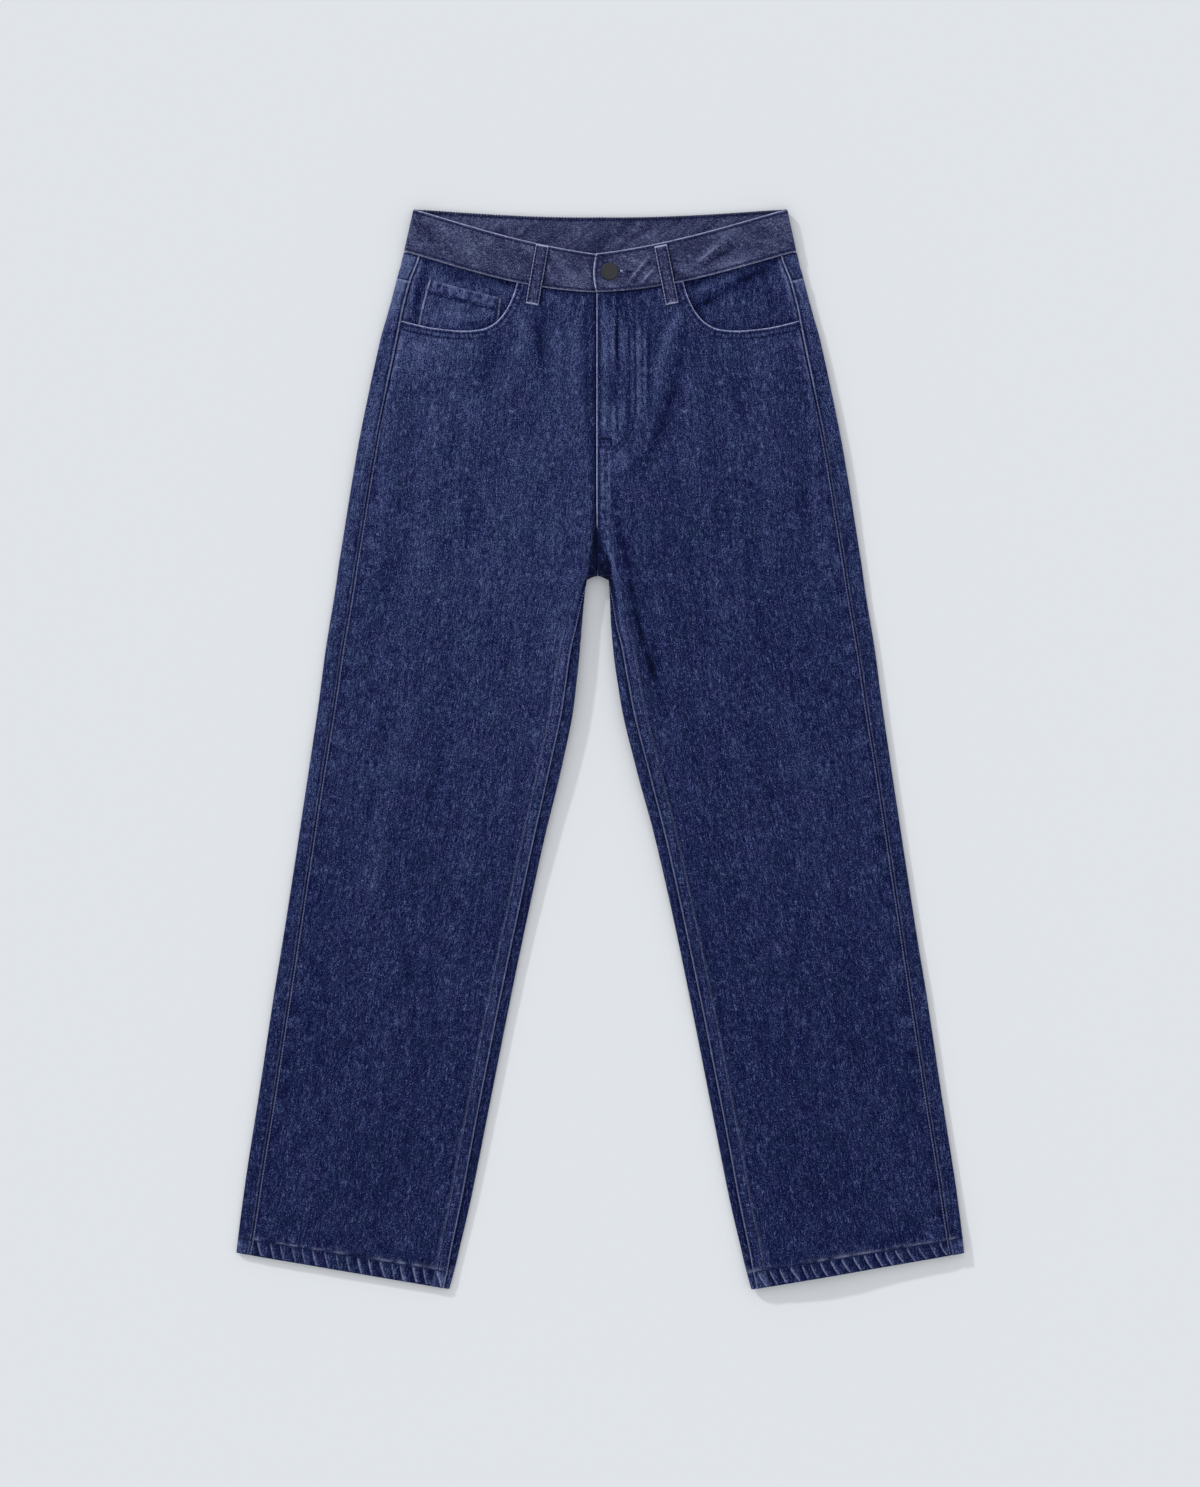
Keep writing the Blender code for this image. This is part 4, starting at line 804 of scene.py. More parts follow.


# Creases and worn lines, listed one by one: the shade, above 0 a pale ridge and below 0 a dark trough, then
# the half width and the points (x, y), in millimetres.
# Their tone is painted light on the relief: painted shade in the dark troughs, and wear with painted
# highlight on the pale ridges.
CREASES = (
    # The wearer's right hip
    (0.55, 5, (-80, 440), (-75, 407), (-83.5, 375), (-93, 355)),
    (-0.45, 3.5, (-72, 433), (-62, 417), (-60.6, 399), (-57, 375), (-54, 361)),
    (-0.55, 4.5, (-54, 462), (-57, 430), (-58, 400), (-57, 360)),
    (-0.50, 6, (-101, 403), (-110, 375), (-119, 353)),
    (0.45, 1.6, (-54, 453), (-46, 440), (-33, 430)),
    (0.45, 1.6, (-21.4, 447), (-13, 435)),
    (0.35, 4, (-42, 430), (-41, 345)),
    (0.30, 4, (-26, 430), (-26, 330)),
    (-0.60, 3, (-13.5, 458), (-12.5, 410), (-13, 362), (-10, 290)),
    (-0.85, 2.2, (-7.5, 373), (-7, 352), (-6.5, 330)),
    (0.50, 12, (-208, 384), (-186, 392), (-150, 400)),
    (0.30, 14, (-206, 372), (-168, 366)),
    (0.45, 6, (-200, 412), (-140, 403)),
    (-0.20, 13, (-139, 350), (-139, 160)),
    (0.40, 1.5, (-182.3, 299), (-184, 280)),
    (0.50, 1.4, (-184.7, 402), (-175, 383)),
    (0.55, 1.4, (-155, 397), (-137.5, 381)),
    (0.45, 1.4, (-131, 399), (-127, 390)),
    (0.35, 5, (-160, 340), (-166, 300)),
    (-0.35, 6, (-140, 330), (-146, 285)),
    (0.35, 3, (-125, 352), (-128, 318)),
    # The wearer's right thigh
    (-0.50, 4, (-17.8, 134.5), (-23.7, 117), (-29.6, 87.5), (-39.4, 48)),
    (0.35, 2, (-202, 72), (-208, 60)),
    (0.35, 2, (-182.5, 21), (-188.4, 5)),
    (0.50, 1.6, (-119.8, 166), (-106, 154)),
    (0.30, 6, (-42, 136), (-42, 107)),
    (0.35, 4, (-51, 99), (-51, 95)),
    (-0.45, 6, (-135, 140), (-135, 136)),
    (-0.45, 7, (-137, 66), (-137, 62)),
    (-0.45, 6, (-94, 207), (-94, 203)),
    (-0.40, 5, (-110, 195), (-110, 191)),
    (0.30, 8, (-175, 230), (-183, 160)),
    (-0.30, 8, (-205, 200), (-212, 130)),
    (-0.25, 9, (-90, 120), (-96, 60)),
    # The wearer's right knee and shin
    (0.35, 1.8, (-184.3, -61), (-180, -68)),
    (0.30, 1.6, (-200, -111), (-205, -132)),
    (0.35, 5, (-285, -186), (-286, -192)),
    (-0.50, 4, (-289, -150), (-289, -156)),
    (-0.40, 4, (-285, -200), (-284, -224)),
    (-0.50, 4, (-309, -242), (-302, -263)),
    (-0.35, 7, (-137, -140), (-145, -157)),
    (0.30, 2, (-150, -240), (-141.6, -232)),
    (0.25, 8, (-215, -90), (-225, -150)),
    (-0.25, 9, (-180, -180), (-190, -240)),
    (0.35, 1.6, (-224.5, -408), (-222.6, -428)),
    (0.45, 1.6, (-200, -432), (-193, -441.7)),
    (0.40, 1.6, (-292, -389), (-286, -397.6)),
    (0.40, 1.6, (-265.7, -381), (-260, -387)),
    (-0.50, 4.5, (-337, -472), (-335, -474)),
    (0.65, 1.6, (-328.4, -469), (-322.5, -477)),
    (0.55, 1.6, (-303, -479), (-298, -486)),
    (-0.45, 6, (-268, -481), (-262, -484)),
    (-0.45, 6, (-240, -494), (-234, -495)),
    (0.55, 1.6, (-227.5, -479), (-220.6, -488)),
    (-0.45, 6, (-213, -489), (-205, -493)),
    (0.80, 1.7, (-212.8, -496.6), (-206, -504), (-195, -521)),
    # The wearer's left hip
    (0.75, 5, (81.5, 441), (76.6, 426), (68.4, 411), (62, 391.6), (55.4, 359), (53.8, 339)),
    (-0.75, 5, (86.4, 427.6), (81.5, 408), (78.2, 383.5), (73.3, 359), (68.4, 339), (58.6, 317), (50, 286),
     (20, 268)),
    (0.50, 6, (15, 290), (27, 274)),
    (0.35, 3, (100, 385), (106, 360)),
    (-0.35, 7, (130, 370), (140, 320)),
    (0.30, 7, (160, 390), (168, 340)),
    (-0.45, 5, (200, 285), (200, 210)),
    (0.35, 7, (95, 300), (88, 262)),
    # The pockets' facings and the coin pocket
    (-0.55, 4, (-167, 486), (-172, 468), (-175, 452), (-179, 440)),
    (-0.95, 3.6, (-177, 452), (-180, 438), (-180.5, 426), (-180.5, 415)),
    (-0.45, 4, (161, 486), (162, 460), (165, 440), (166, 416)),
    (-0.80, 5, (-156, 469), (-140, 463), (-120, 460)),
    (0.45, 4, (-100, 480), (-92, 466)),
    (-0.90, 4, (-139, 418), (-122, 416.5), (-104, 421)),
    (0.45, 2, (-161, 432), (-164, 416)),
    (0.45, 5, (-144, 429), (-143, 425)),
    (-0.45, 5, (-127, 419), (-126, 415)),
    (0.55, 3.5, (90, 447), (117.6, 457), (137, 463.7)),
    (0.50, 7, (103, 466), (122, 474), (150, 480)),
    (0.28, 9, (135, 438), (165, 430)),
    (-1.02, 4.4, (84, 428), (100, 436), (112, 443), (124, 452), (138, 459), (150, 465), (164, 471),
     (172, 478)),
    (-0.30, 4.5, (91, 448), (92, 432), (97, 423), (106, 416)),
    (0.50, 7, (158, 402), (192, 400)),
    (0.60, 2, (174.7, 483), (184.5, 453.5), (191, 434)),
    (0.55, 6, (112, 468), (150, 480)),
    # The fly, with its double row of stitching
    (-0.65, 1.2, (24.8, 447), (25.5, 436), (27.7, 415), (28.3, 390), (28.4, 330), (26.7, 314), (23.3, 306),
     (18.4, 300), (13.5, 295), (5.6, 293)),
    (-0.60, 1.2, (33, 425), (34.4, 390), (34.8, 330), (33, 321), (31, 315), (27, 303), (20.3, 296),
     (14.5, 291), (7, 289)),
    (0.60, 1.3, (31.4, 425), (31.6, 330)),
    (0.95, 2.6, (3.6, 440), (3.8, 405), (3.4, 368)),
    (1.25, 2.6, (11.2, 434), (12.2, 412), (12.2, 378)),
    (-1.50, 1.5, (17.2, 446), (16.3, 405), (16.7, 362)),
    (0.35, 2.5, (22, 425), (22, 372)),
    (-0.50, 6, (13, 364), (13, 343)),
    (0.90, 1.8, (4, 342), (4, 306)),
    (0.80, 1.8, (13, 338), (13, 300), (11, 296)),
    (-0.60, 1.3, (16.6, 345), (16.6, 306)),
    (0.60, 3, (21.5, 342), (21, 308)),
    (0.75, 2.4, (37.4, 424), (37.6, 318)),
    (0.85, 1.4, (44, 424), (44, 320)),
    (-0.45, 1.1, (41, 420), (41, 330)),
    (-0.80, 1.8, (47.6, 430), (47.8, 325)),
    (-0.60, 3.5, (2, 445), (9, 436)),
    (-0.55, 3, (38, 379), (44, 378)),
    (0.60, 6, (19, 288), (28, 290)),
    (0.55, 1.5, (16, 271.5), (29, 280)),
    (0.85, 1.3, (1.8, 299), (1.8, 215)),
    (0.80, 1.2, (8.6, 299), (8.8, 225), (11, 212)),
    (0.95, 1.5, (9.2, 196), (11.5, 184), (14.5, 174), (18, 164)),
    # The wearer's left thigh
    (-0.90, 3.2, (13.5, 252), (17, 230), (20, 210), (25, 192), (28, 174), (31, 155), (34.1, 136.5),
     (41.9, 103), (47.8, 87.5), (55.7, 62), (63.5, 32.6), (67.4, 13)),
    (-0.45, 4, (54, 105), (55, 78)),
    (0.60, 3.5, (5.7, 225), (10.6, 193), (15.5, 166), (17.4, 136.5), (24.3, 111), (29.2, 91)),
    (0.45, 1.8, (71, 197), (83, 191)),
    (0.50, 1.6, (63.5, 176), (73, 162)),
    (0.65, 1.6, (53.7, 148), (59.6, 132.6)),
    (0.45, 1.6, (79, 129), (87, 121)),
    (0.40, 1.6, (148, 191), (157.6, 180.6)),
    (0.40, 1.6, (124, 146), (131, 136.5)),
    (0.40, 1.6, (100.7, 74), (112.5, 56)),
    (0.40, 1.8, (126, 52), (146, 28.7)),
    (0.45, 1.6, (89, 240), (97, 244)),
    (0.60, 1.4, (122.3, 210), (122.3, 208)),
    (0.60, 1.4, (122.3, 143), (122.3, 141)),
    (0.60, 1.4, (116.4, 129), (116.4, 127)),
    (0.35, 5, (222, 171), (222, 165)),
    (0.35, 5, (232, 139), (232, 133)),
    (0.35, 5, (246, 81), (246, 75)),
    (0.25, 8, (110, 180), (125, 110)),
    (0.22, 15, (104, 120), (106, 30)),
    (-0.30, 9, (2, 262), (3, 160)),
    (-0.25, 9, (160, 150), (175, 80)),
    # The wearer's left knee and shin
    (0.45, 1.8, (170.3, -51), (182.8, -71)),
    (0.50, 1.6, (131.7, -106.6), (138.6, -119)),
    (0.45, 3.5, (196, -110), (198, -123)),
    (0.40, 2, (141, -142), (147.4, -146)),
    (0.50, 1.6, (168.2, -184), (178.6, -202.5)),
    (0.40, 1.6, (148.4, -165), (160, -177.5)),
    (0.40, 1.6, (143, -204.6), (149.5, -217)),
    (0.45, 1.6, (270.4, -227.5), (277.7, -242)),
    (0.45, 1.6, (284, -209), (290, -223.4)),
    (-0.50, 4, (273, -82), (273, -88)),
    (-0.50, 5, (275, -134), (281, -146)),
    (-0.50, 3.5, (295.5, -187), (295.5, -193)),
    (-0.50, 4, (297, -231), (296, -247)),
    (0.40, 4, (270.4, -94), (270.4, -98)),
    (0.45, 4, (279.8, -161), (279.8, -165)),
    (0.35, 5, (293, -267), (293, -271)),
    (0.35, 5, (147.4, -88), (147.4, -93)),
    (-0.50, 4, (305, -297), (307, -304)),
    (0.55, 1.6, (226, -357.5), (231, -360)),
    (0.50, 1.6, (223.3, -367), (232, -369.5)),
    (0.50, 1.6, (210.5, -391), (215.4, -399.6)),
    (0.45, 1.6, (174.3, -359.4), (183, -365)),
    (0.45, 1.6, (220, -433), (233, -440)),
    (0.65, 1.8, (320.3, -441.8), (324.2, -445.7)),
    (-0.50, 4, (329, -424), (329, -430)),
    (-0.55, 4, (331, -450), (331, -455)),
    (-0.45, 5, (272, -483), (300, -477), (315, -473)),
    (0.65, 1.6, (317.4, -471), (328, -481)),
    (0.60, 1.6, (246.8, -485), (256.6, -492.7)),
    (0.70, 1.6, (158.6, -463), (160.6, -490.7), (167.4, -507.4)),
    (0.45, 1.6, (186, -496.6), (192, -502.5)),
    (-0.55, 4.5, (343, -470), (344, -474)),
    # The waistband
    (1.60, 1.1, (27.2, 458), (47.8, 483.5)),
    (-0.70, 2.0, (31, 457), (52, 482)),
    (1.45, 1.0, (39, 456), (54.6, 472.6)),
    (-0.60, 2.0, (42, 455), (56, 468)),
    (1.75, 1.0, (93.8, 476.5), (116.4, 494)),
    (0.70, 3.0, (88, 473), (110, 492), (130.6, 509)),
    (-0.80, 3.0, (97, 472), (122, 487), (140, 498)),
    (-0.70, 4.0, (2, 487), (2, 476)),
    (0.60, 4.0, (8, 452), (14, 455)),
    (-0.70, 2.0, (0, 471), (4, 470)),
    (-0.90, 1.1, (22.7, 466.8), (32.5, 468.5)),
    (-0.60, 2.2, (20, 463), (33, 466)),
    (0.45, 1.5, (150, 497.5), (186, 501)),
    (0.40, 1.5, (-183, 520), (-160, 513.6)),
    (0.40, 1.5, (-188, 497), (-158.6, 492.5)),
    (0.40, 1.5, (-80, 496), (-62, 483)),
    (0.45, 2, (-89, 522), (-89, 506)),
    (0.45, 2, (-80, 520), (-77, 505)),
    (0.35, 2, (-44, 516), (-42, 502)),
    (0.35, 2, (-20, 514), (-22, 499)),
    (0.35, 2, (14, 514), (12, 500)),
    (0.40, 2, (52, 516), (56, 500)),
    (0.35, 2, (83, 520), (81, 508)),
    (-0.40, 2.5, (72, 486), (76, 458)),
)
CREASE_RELIEF = 0.09  # height of a crease of shade 1, as a share of its half width
CREASE_ENDS, CREASE_END_SHADE = 0.30, 0.3  # share of its length in which an end fades, and what is left
CREASE_REACH = 3  # how many half widths away a crease is worked out
CREASE_PITCH, CREASE_SEED, CREASE_SHIFT = 0.012, 700, 0.7  # of the unevenness along them
UNDER_SHADE, UNDER_DENT = 0.7, 0.5  # the creases underneath, as shares of those on top
UNEVEN_BASE, UNEVEN_SWING = 0.85, 0.25


def uneven(x, y, seed):
    """A strength that varies a little from place to place."""
    return UNEVEN_BASE + UNEVEN_SWING * noise(x, y, seed)


def crease_shade(x, y):
    """Shade and height of the creases at places given by x and y."""
    shade, height = np.zeros(x.shape), np.zeros(x.shape)
    for number, (strength, half_width, *points) in enumerate(CREASES):
        points, width = np.array(points) * MILLIMETRE, half_width * MILLIMETRE
        low, high = points.min(axis=0) - CREASE_REACH * width, points.max(axis=0) + CREASE_REACH * width
        near = (x > low[0]) & (x < high[0]) & (y > low[1]) & (y < high[1])
        if not near.any():
            continue
        px, py = x[near], y[near]
        lengths = np.linalg.norm(np.diff(points, axis=0), axis=1)
        away, along, passed = np.full(px.shape, 1.0), np.zeros(px.shape), 0.0
        for start, end, length in zip(points[:-1], points[1:], lengths):
            run = (end - start) / length
            t = np.clip((px - start[0]) * run[0] + (py - start[1]) * run[1], 0, length)
            distance = np.hypot(px - start[0] - t * run[0], py - start[1] - t * run[1])
            closer = distance < away
            away, along = np.where(closer, distance, away), np.where(closer, passed + t, along)
            passed += length
        share = along / passed
        inner = smooth_step(0, CREASE_ENDS, np.minimum(share, 1 - share))
        fade = CREASE_END_SHADE + (1 - CREASE_END_SHADE) * inner
        varying = uneven(along / CREASE_PITCH, number * CREASE_SHIFT, CREASE_SEED)
        amount = strength * fade * varying * np.exp(-(away / width) ** 2)
        shade[near] += amount
        height[near] += amount * width * CREASE_RELIEF
    return shade, height


def crease(grid):
    """The creases on what faces up, and mirrored ones underneath, as dents only, because it lies flat."""
    shade, height = crease_shade(grid.x, grid.y)
    grid.tone += shade * grid.facing_up
    grid.height += height * grid.facing_up
    under = smooth_step(*FACING_WAY, -grid.normals[..., 2])
    if under.any():
        shade, height = crease_shade(-grid.x, grid.y)
        grid.tone += UNDER_SHADE * shade * under
        grid.height -= UNDER_DENT * np.abs(height) * under


# ---- Seams and hems

GROOVE_WIDTH, GROOVE_SHADE_WIDTH = 0.0008, 0.0009
RIM_PATCH, RIM_SEED = 0.006, 90  # size of the uneven patches in a worn edge, and their seed
# The darker line beside a worn edge, and the one at a piece's very edge, are painted shade.
RIM_SHADE, RIM_SHADE_WIDTH = 0.0019, 0.0010  # from a worn edge to the darker line inside it, and its width
EDGE_LINE, EDGE_DARK = 0.00028, 0.85  # half width of the line at a piece's very edge, and how dark it is


def shade_line(grid, amount, place, width, distance):
    """A darker line, at a place among the distances from an edge: painted shade, but for the overlocked edge
    inside the waistband.
    """
    grid.tone *= 1 - amount * bump(place, width, distance)


def wear_line(grid, amount, place, width, distance):
    """A worn line, at a place among the distances from an edge."""
    grid.edge = np.maximum(grid.edge, amount * bump(place, width, distance))


def groove(grid, distance, depth=0.0006, shade=0.5):
    """The cloth's edge turning down into a seam, with painted shade along it."""
    grid.height -= depth * bump(0, GROOVE_WIDTH, distance)
    shade_line(grid, shade, 0, GROOVE_SHADE_WIDTH, distance)


def rim(grid, distance, strength, place=0.0006, width=0.00055, shade=0.45):
    """A worn edge, with painted shade in a line inside it and at the piece's very edge."""
    varying = strength * uneven(grid.x / RIM_PATCH, grid.y / RIM_PATCH, RIM_SEED)
    wear_line(grid, varying, place, width, distance)
    very_edge = EDGE_DARK * bump(0, EDGE_LINE, distance) * (strength > 0)
    grid.edge *= 1 - very_edge
    shade_line(grid, shade, place + RIM_SHADE, RIM_SHADE_WIDTH, distance)
    grid.tone *= 1 - very_edge


def pucker(grid, distance, along, pitch, reach, depth, seed, shade=0.35):
    """Small waves beside a seam, fading with distance from it."""
    wave = ripples(along, pitch, seed) * np.exp(-distance / reach)
    grid.height += depth * wave
    grid.tone *= 1 + shade * wave


HEM_DEPTH = 0.0158
HEM_TURN = 0.002  # over which the hem's relief begins at its edge, and ends at its stitching
CORNER_TONE = 0.55  # how much paler the hem is on the felled strip beside the inseam
ROPE_PITCH = 0.0108
HEM_LEAN = {-1: 0.0036, 1: 0.0085}  # how far the ridges slant across the hem, towards the wearer's left
LEAN_BEND = 1.4
ROPE_DRIFT = ((0.30, 0.031, 0), (0.17, 0.013, 5))  # how far the ridges stray, over what length, and seed
ROPE_STRENGTH, ROPE_SWING, ROPE_SWING_LENGTH = 0.72, 0.45, 0.017
ROPE_HEIGHT, ROPE_SINK, ROPE_CREST = 0.00055, 0.0001, 0.12
PUFF_WAVE, PUFF_SPOTS, PUFF_SHIFT = 0.8, 0.9, 0.2
PUFF_WIDE, PUFF_LONG, PUFF_REACH = 0.012, 0.008, 0.0065
PUFF_HEIGHT, PUFF_SHADE = 0.00025, 0.50
# The hem's two dents, along its stitching and below it: place and depth, then their widths and shade.
HEM_DENTS = ((HEM_DEPTH, 0.0004), (HEM_DEPTH - 0.0030, 0.0002))
DENT_WIDTH, DENT_SHADE_WIDTH, DENT_SHADE = 0.0009, 0.0008, 0.40
TUFT_BASE, TUFT_SWING, TUFT_TOP = 0.45, 0.9, 1.3
TUFT_WIDE, TUFT_LONG = 0.0075, 0.004
TUFT_WEAR, TUFT_RISE, TUFT_HALF = 0.42, 0.0018, 0.0010  # wear just above the stitching
HEM_EDGE_SHADE, HEM_EDGE_WIDTH = 0.45, 0.0012


def in_hem(grid):
    """1 in the turned-up hem, fading to 0 at its stitching."""
    return smooth_step(HEM_DEPTH + 0.0005, HEM_DEPTH - 0.0005, grid.below)


def rope_hem(grid, seed, side):
    """Slanting ridges in the turned-up hem, and the puffs above its stitching."""
    x, up = grid.x, grid.below
    inside = smooth_step(0, HEM_TURN, up) * (1 - smooth_step(HEM_DEPTH - HEM_TURN, HEM_DEPTH, up))
    lean = HEM_LEAN[side] * (1 - np.clip(up / HEM_DEPTH, 0, 1)) ** LEAN_BEND
    phase = (x - lean) / ROPE_PITCH
    for amount, length, offset in ROPE_DRIFT:
        phase = phase + amount * noise(x / length, seed, seed + offset)
    shown = grid.facing_up
    strength = ROPE_STRENGTH + ROPE_SWING * noise(x / ROPE_SWING_LENGTH, 0.3, seed + 1)
    grid.rope[..., 0] = phase
    grid.rope[..., 1] = inside * shown * strength
    ridge = np.sin(2 * math.pi * (phase + ROPE_CREST)) * strength
    grid.height += (ROPE_HEIGHT * ridge - ROPE_SINK) * inside * shown
    above = smooth_step(HEM_DEPTH - 0.0005, HEM_DEPTH + 0.0012, up) * np.exp(-(up - HEM_DEPTH) / PUFF_REACH)
    puffs = PUFF_WAVE * np.sin(2 * math.pi * (phase + PUFF_SHIFT))
    puffs = (puffs + PUFF_SPOTS * noise(x / PUFF_WIDE, up / PUFF_LONG, seed + 2)) * above * shown
    grid.height += PUFF_HEIGHT * puffs
    grid.tone *= 1 + PUFF_SHADE * puffs
    for place, depth in HEM_DENTS:
        grid.height -= depth * bump(place, DENT_WIDTH, up) * shown
        shade_line(grid, DENT_SHADE, place, DENT_SHADE_WIDTH, up)
    spots = noise(x / TUFT_WIDE, up / TUFT_LONG, seed + 3)
    tufts = np.clip(TUFT_BASE + TUFT_SWING * spots, 0, TUFT_TOP)
    wear_line(grid, TUFT_WEAR * shown * tufts, HEM_DEPTH + TUFT_RISE, TUFT_HALF, up)
    shade_line(grid, HEM_EDGE_SHADE, 0, HEM_EDGE_WIDTH, up)


# ---- Fronts

# The J-stitch's two rows: x and y from the waistband down.
J_STITCH = (((0.0249, 0.4455), (0.0256, 0.4360), (0.0277, 0.4150), (0.0283, 0.3900), (0.0284, 0.3300),
             (0.0267, 0.3140), (0.0233, 0.3060), (0.0184, 0.3000), (0.0135, 0.2950), (0.0056, 0.2930)),
            ((0.0310, 0.4455), (0.0326, 0.4280), (0.0344, 0.3900), (0.0348, 0.3300), (0.0330, 0.3210),
             (0.0310, 0.3150), (0.0270, 0.3030), (0.0203, 0.2960), (0.0145, 0.2910), (0.0070, 0.2890)))
RISE_STRIP = 0.0130
STRIP = 0.0125  # width of the felled strip beside the inseam
STRIP_HEIGHT, STRIP_PALE = 0.00045, 0.34
LADDER_HEIGHT, LADDER_SHADE = 0.00014, 0.65  # of the small ridges across the strip
SINGLE_STITCH_Y = 0.307  # the outseam is topstitched down to here
GLOW = 0.95
GLOW_PATCH, GLOW_SEED = 0.009, 94
GLOW_PLACE, GLOW_WIDTH = 0.0018, 0.0028
# Painted shadow of the waistband on the front.
WAIST_SHADES = ((0.60, 0.0032), (0.80, 0.0013))  # under the waistband: how dark, and how wide
LOOP_PAINTED_SHADOW = 0.97
WAIST_STEP = 0.0066  # half the waist seam's gap, in rows
SEAM_STEP = HALF_SEAM / 0.0225  # the same at the back's cross seams, where rows are 22.5 mm apart
FRONT_SEEDS, BACK_SEEDS = {-1: 100, 1: 140}, {-1: 200, 1: 240}


def evenly(cell, count):
    """Spacing of columns that is fine at both ends and even between."""
    return lambda total: spaced(total, cell, True, True, count)


def front_grid(side):
    rows, along = rows_between(ROW["waist seam"] + WAIST_STEP, LAST, FRONT_CELL, True, True)
    paths = [Section(row, side).front_path() for row in rows]
    return Grid(rows, along, paths, evenly(FRONT_CELL, FRONT_COLUMNS), -side)


def seam_glow(distance, along):
    """The pale, pressed ridge of a front beside its outseam, at the hip."""
    glow = GLOW * (0.85 + 0.3 * noise(along / GLOW_PATCH, 0.4, GLOW_SEED))
    outer = smooth_step(0.0004, 0.0014, distance)
    return glow * outer * bump(0, GLOW_WIDTH, np.maximum(distance - GLOW_PLACE, 0))


def dress_front(grid, side):
    seed = FRONT_SEEDS[side]
    soften(grid, seed)
    leg = smooth_step(ROW["leg 3"], ROW["leg 5"], grid.rows)
    torso = 1 - smooth_step(ROW["fork 3"], ROW["crotch"], grid.rows)
    # Beside the outseam.
    lower = 1 - smooth_step(SINGLE_STITCH_Y - 0.01, SINGLE_STITCH_Y + 0.05, grid.y)
    groove(grid, grid.start, depth=0.0006, shade=1 - 0.4 * lower)
    pucker(grid, grid.start, grid.along, pitch=0.0085, reach=0.006, depth=0.00012, seed=seed + 20)
    grid.tone += 0.40 * lower * ripples(grid.along, 0.031, seed + 22) * bump(0.0065, 0.0050, grid.start)
    rim(grid, grid.start, 0.16 * lower, place=0.0012, width=0.0005, shade=0.45 * lower)
    grid.tone += (1 - lower) * seam_glow(grid.start, grid.along)
    shade_line(grid, 0.80 * (1 - lower), 0.0003, 0.0008, grid.start)
    # The felled strip beside the inseam.
    groove(grid, grid.end, depth=0.0008, shade=0.9)
    strip = leg * (1 - smooth_step(STRIP - 0.0015, STRIP + 0.0010, grid.end))
    ladder = 0.55 + 0.45 * noise(grid.along / 0.060, 0.5, seed + 25)
    wave = ripples(grid.along, 0.0044, seed + 24) * ladder * strip * smooth_step(0.0012, 0.0035, grid.end)
    grid.height += STRIP_HEIGHT * strip + LADDER_HEIGHT * wave
    grid.tone *= 1 + LADDER_SHADE * wave + STRIP_PALE * strip
    rim(grid, grid.end, leg * 0.40, place=0.0012)
    wear_line(grid, leg * 0.08, STRIP - 0.0006, 0.0012, grid.end)
    shade_line(grid, 0.20 * leg, STRIP + 0.0022, 0.0014, grid.end)
    # Under the waistband: puckers, the band's painted shadow, and the loops' painted shadows.
    pucker(grid, grid.along, grid.across, pitch=0.013, reach=0.012, depth=0.00012, seed=seed + 28)
    for amount, width in WAIST_SHADES:
        shade_line(grid, amount, 0, width, grid.along)
    grid.tone *= 1 - LOOP_PAINTED_SHADOW * loop_shade(grid.x, grid.y)
    if side > 0:
        dress_fly(grid, torso, seed)
    else:
        # Painted shadow of the lap along the fly's edge.
        shade_line(grid, 0.75 * torso, 0, 0.0018, grid.end)
    paint_hollow_shade(grid, side)
    rope_hem(grid, seed + 32, side)
    grid.tone += CORNER_TONE * in_hem(grid) * smooth_step(STRIP + 0.001, STRIP - 0.001, grid.end)
    grid.keep = outside_opening(grid)


# The hollow above the gap, painted in deep shade: y upwards, and x of its sides there.
HOLLOW_Y = (0.1700, 0.1798, 0.1880, 0.1920, 0.2000, 0.2083, 0.2190)
HOLLOW_RIGHT_X = (-0.0127, -0.0109, -0.0098, -0.0093, -0.0081, -0.0073, -0.0042)
HOLLOW_LEFT_X = (0.0116, 0.0107, 0.0088, 0.0060, -0.0008, -0.0015, -0.0036)
HOLLOW_SOFT, HOLLOW_TOP_SOFT = 0.0006, 0.001
HOLLOW_SHADE_TONE = 0.06
HOLLOW_PATCH, PATCH_WIDTH, PATCH_PALE = (0.0009, 0.1880), 0.0035, 0.60  # a paler patch in it
INNER_SHADE = {-1: 0.0045, 1: 0.0062}  # how far round the inner folds the shade goes


def hollow_share(x, y):
    """1 inside the hollow above the gap, fading to 0 at its sides."""
    from_right = smooth_step(-HOLLOW_SOFT, HOLLOW_SOFT, x - np.interp(y, HOLLOW_Y, HOLLOW_RIGHT_X))
    from_left = smooth_step(-HOLLOW_SOFT, HOLLOW_SOFT, np.interp(y, HOLLOW_Y, HOLLOW_LEFT_X) - x)
    top = smooth_step(HOLLOW_Y[-1] + HOLLOW_TOP_SOFT, HOLLOW_Y[-1] - HOLLOW_TOP_SOFT, y)
    return from_right * from_left * top * (y > HOLLOW_Y[0] - 0.01)


def paint_hollow_shade(grid, side):
    """Painted deep shade in the hollow above the gap, and on the legs' inner folds just below it."""
    hollow = hollow_share(grid.x, grid.y)
    patch = bump(0, PATCH_WIDTH, np.hypot(grid.x - HOLLOW_PATCH[0], grid.y - HOLLOW_PATCH[1]))
    grid.tone += hollow * (HOLLOW_SHADE_TONE + PATCH_PALE * patch - grid.tone)
    grid.edge *= 1 - hollow
    begun = smooth_step(ROW["crotch"], ROW["leg 1"], grid.rows)
    ended = smooth_step(ROW["leg 2"], ROW["leg 4"], grid.rows)
    reach = INNER_SHADE[side]
    outside = smooth_step(reach - 0.0015, reach + 0.0005, grid.end)
    grid.tone -= begun * (1 - ended) * (1 - outside) * (grid.tone - HOLLOW_SHADE_TONE)


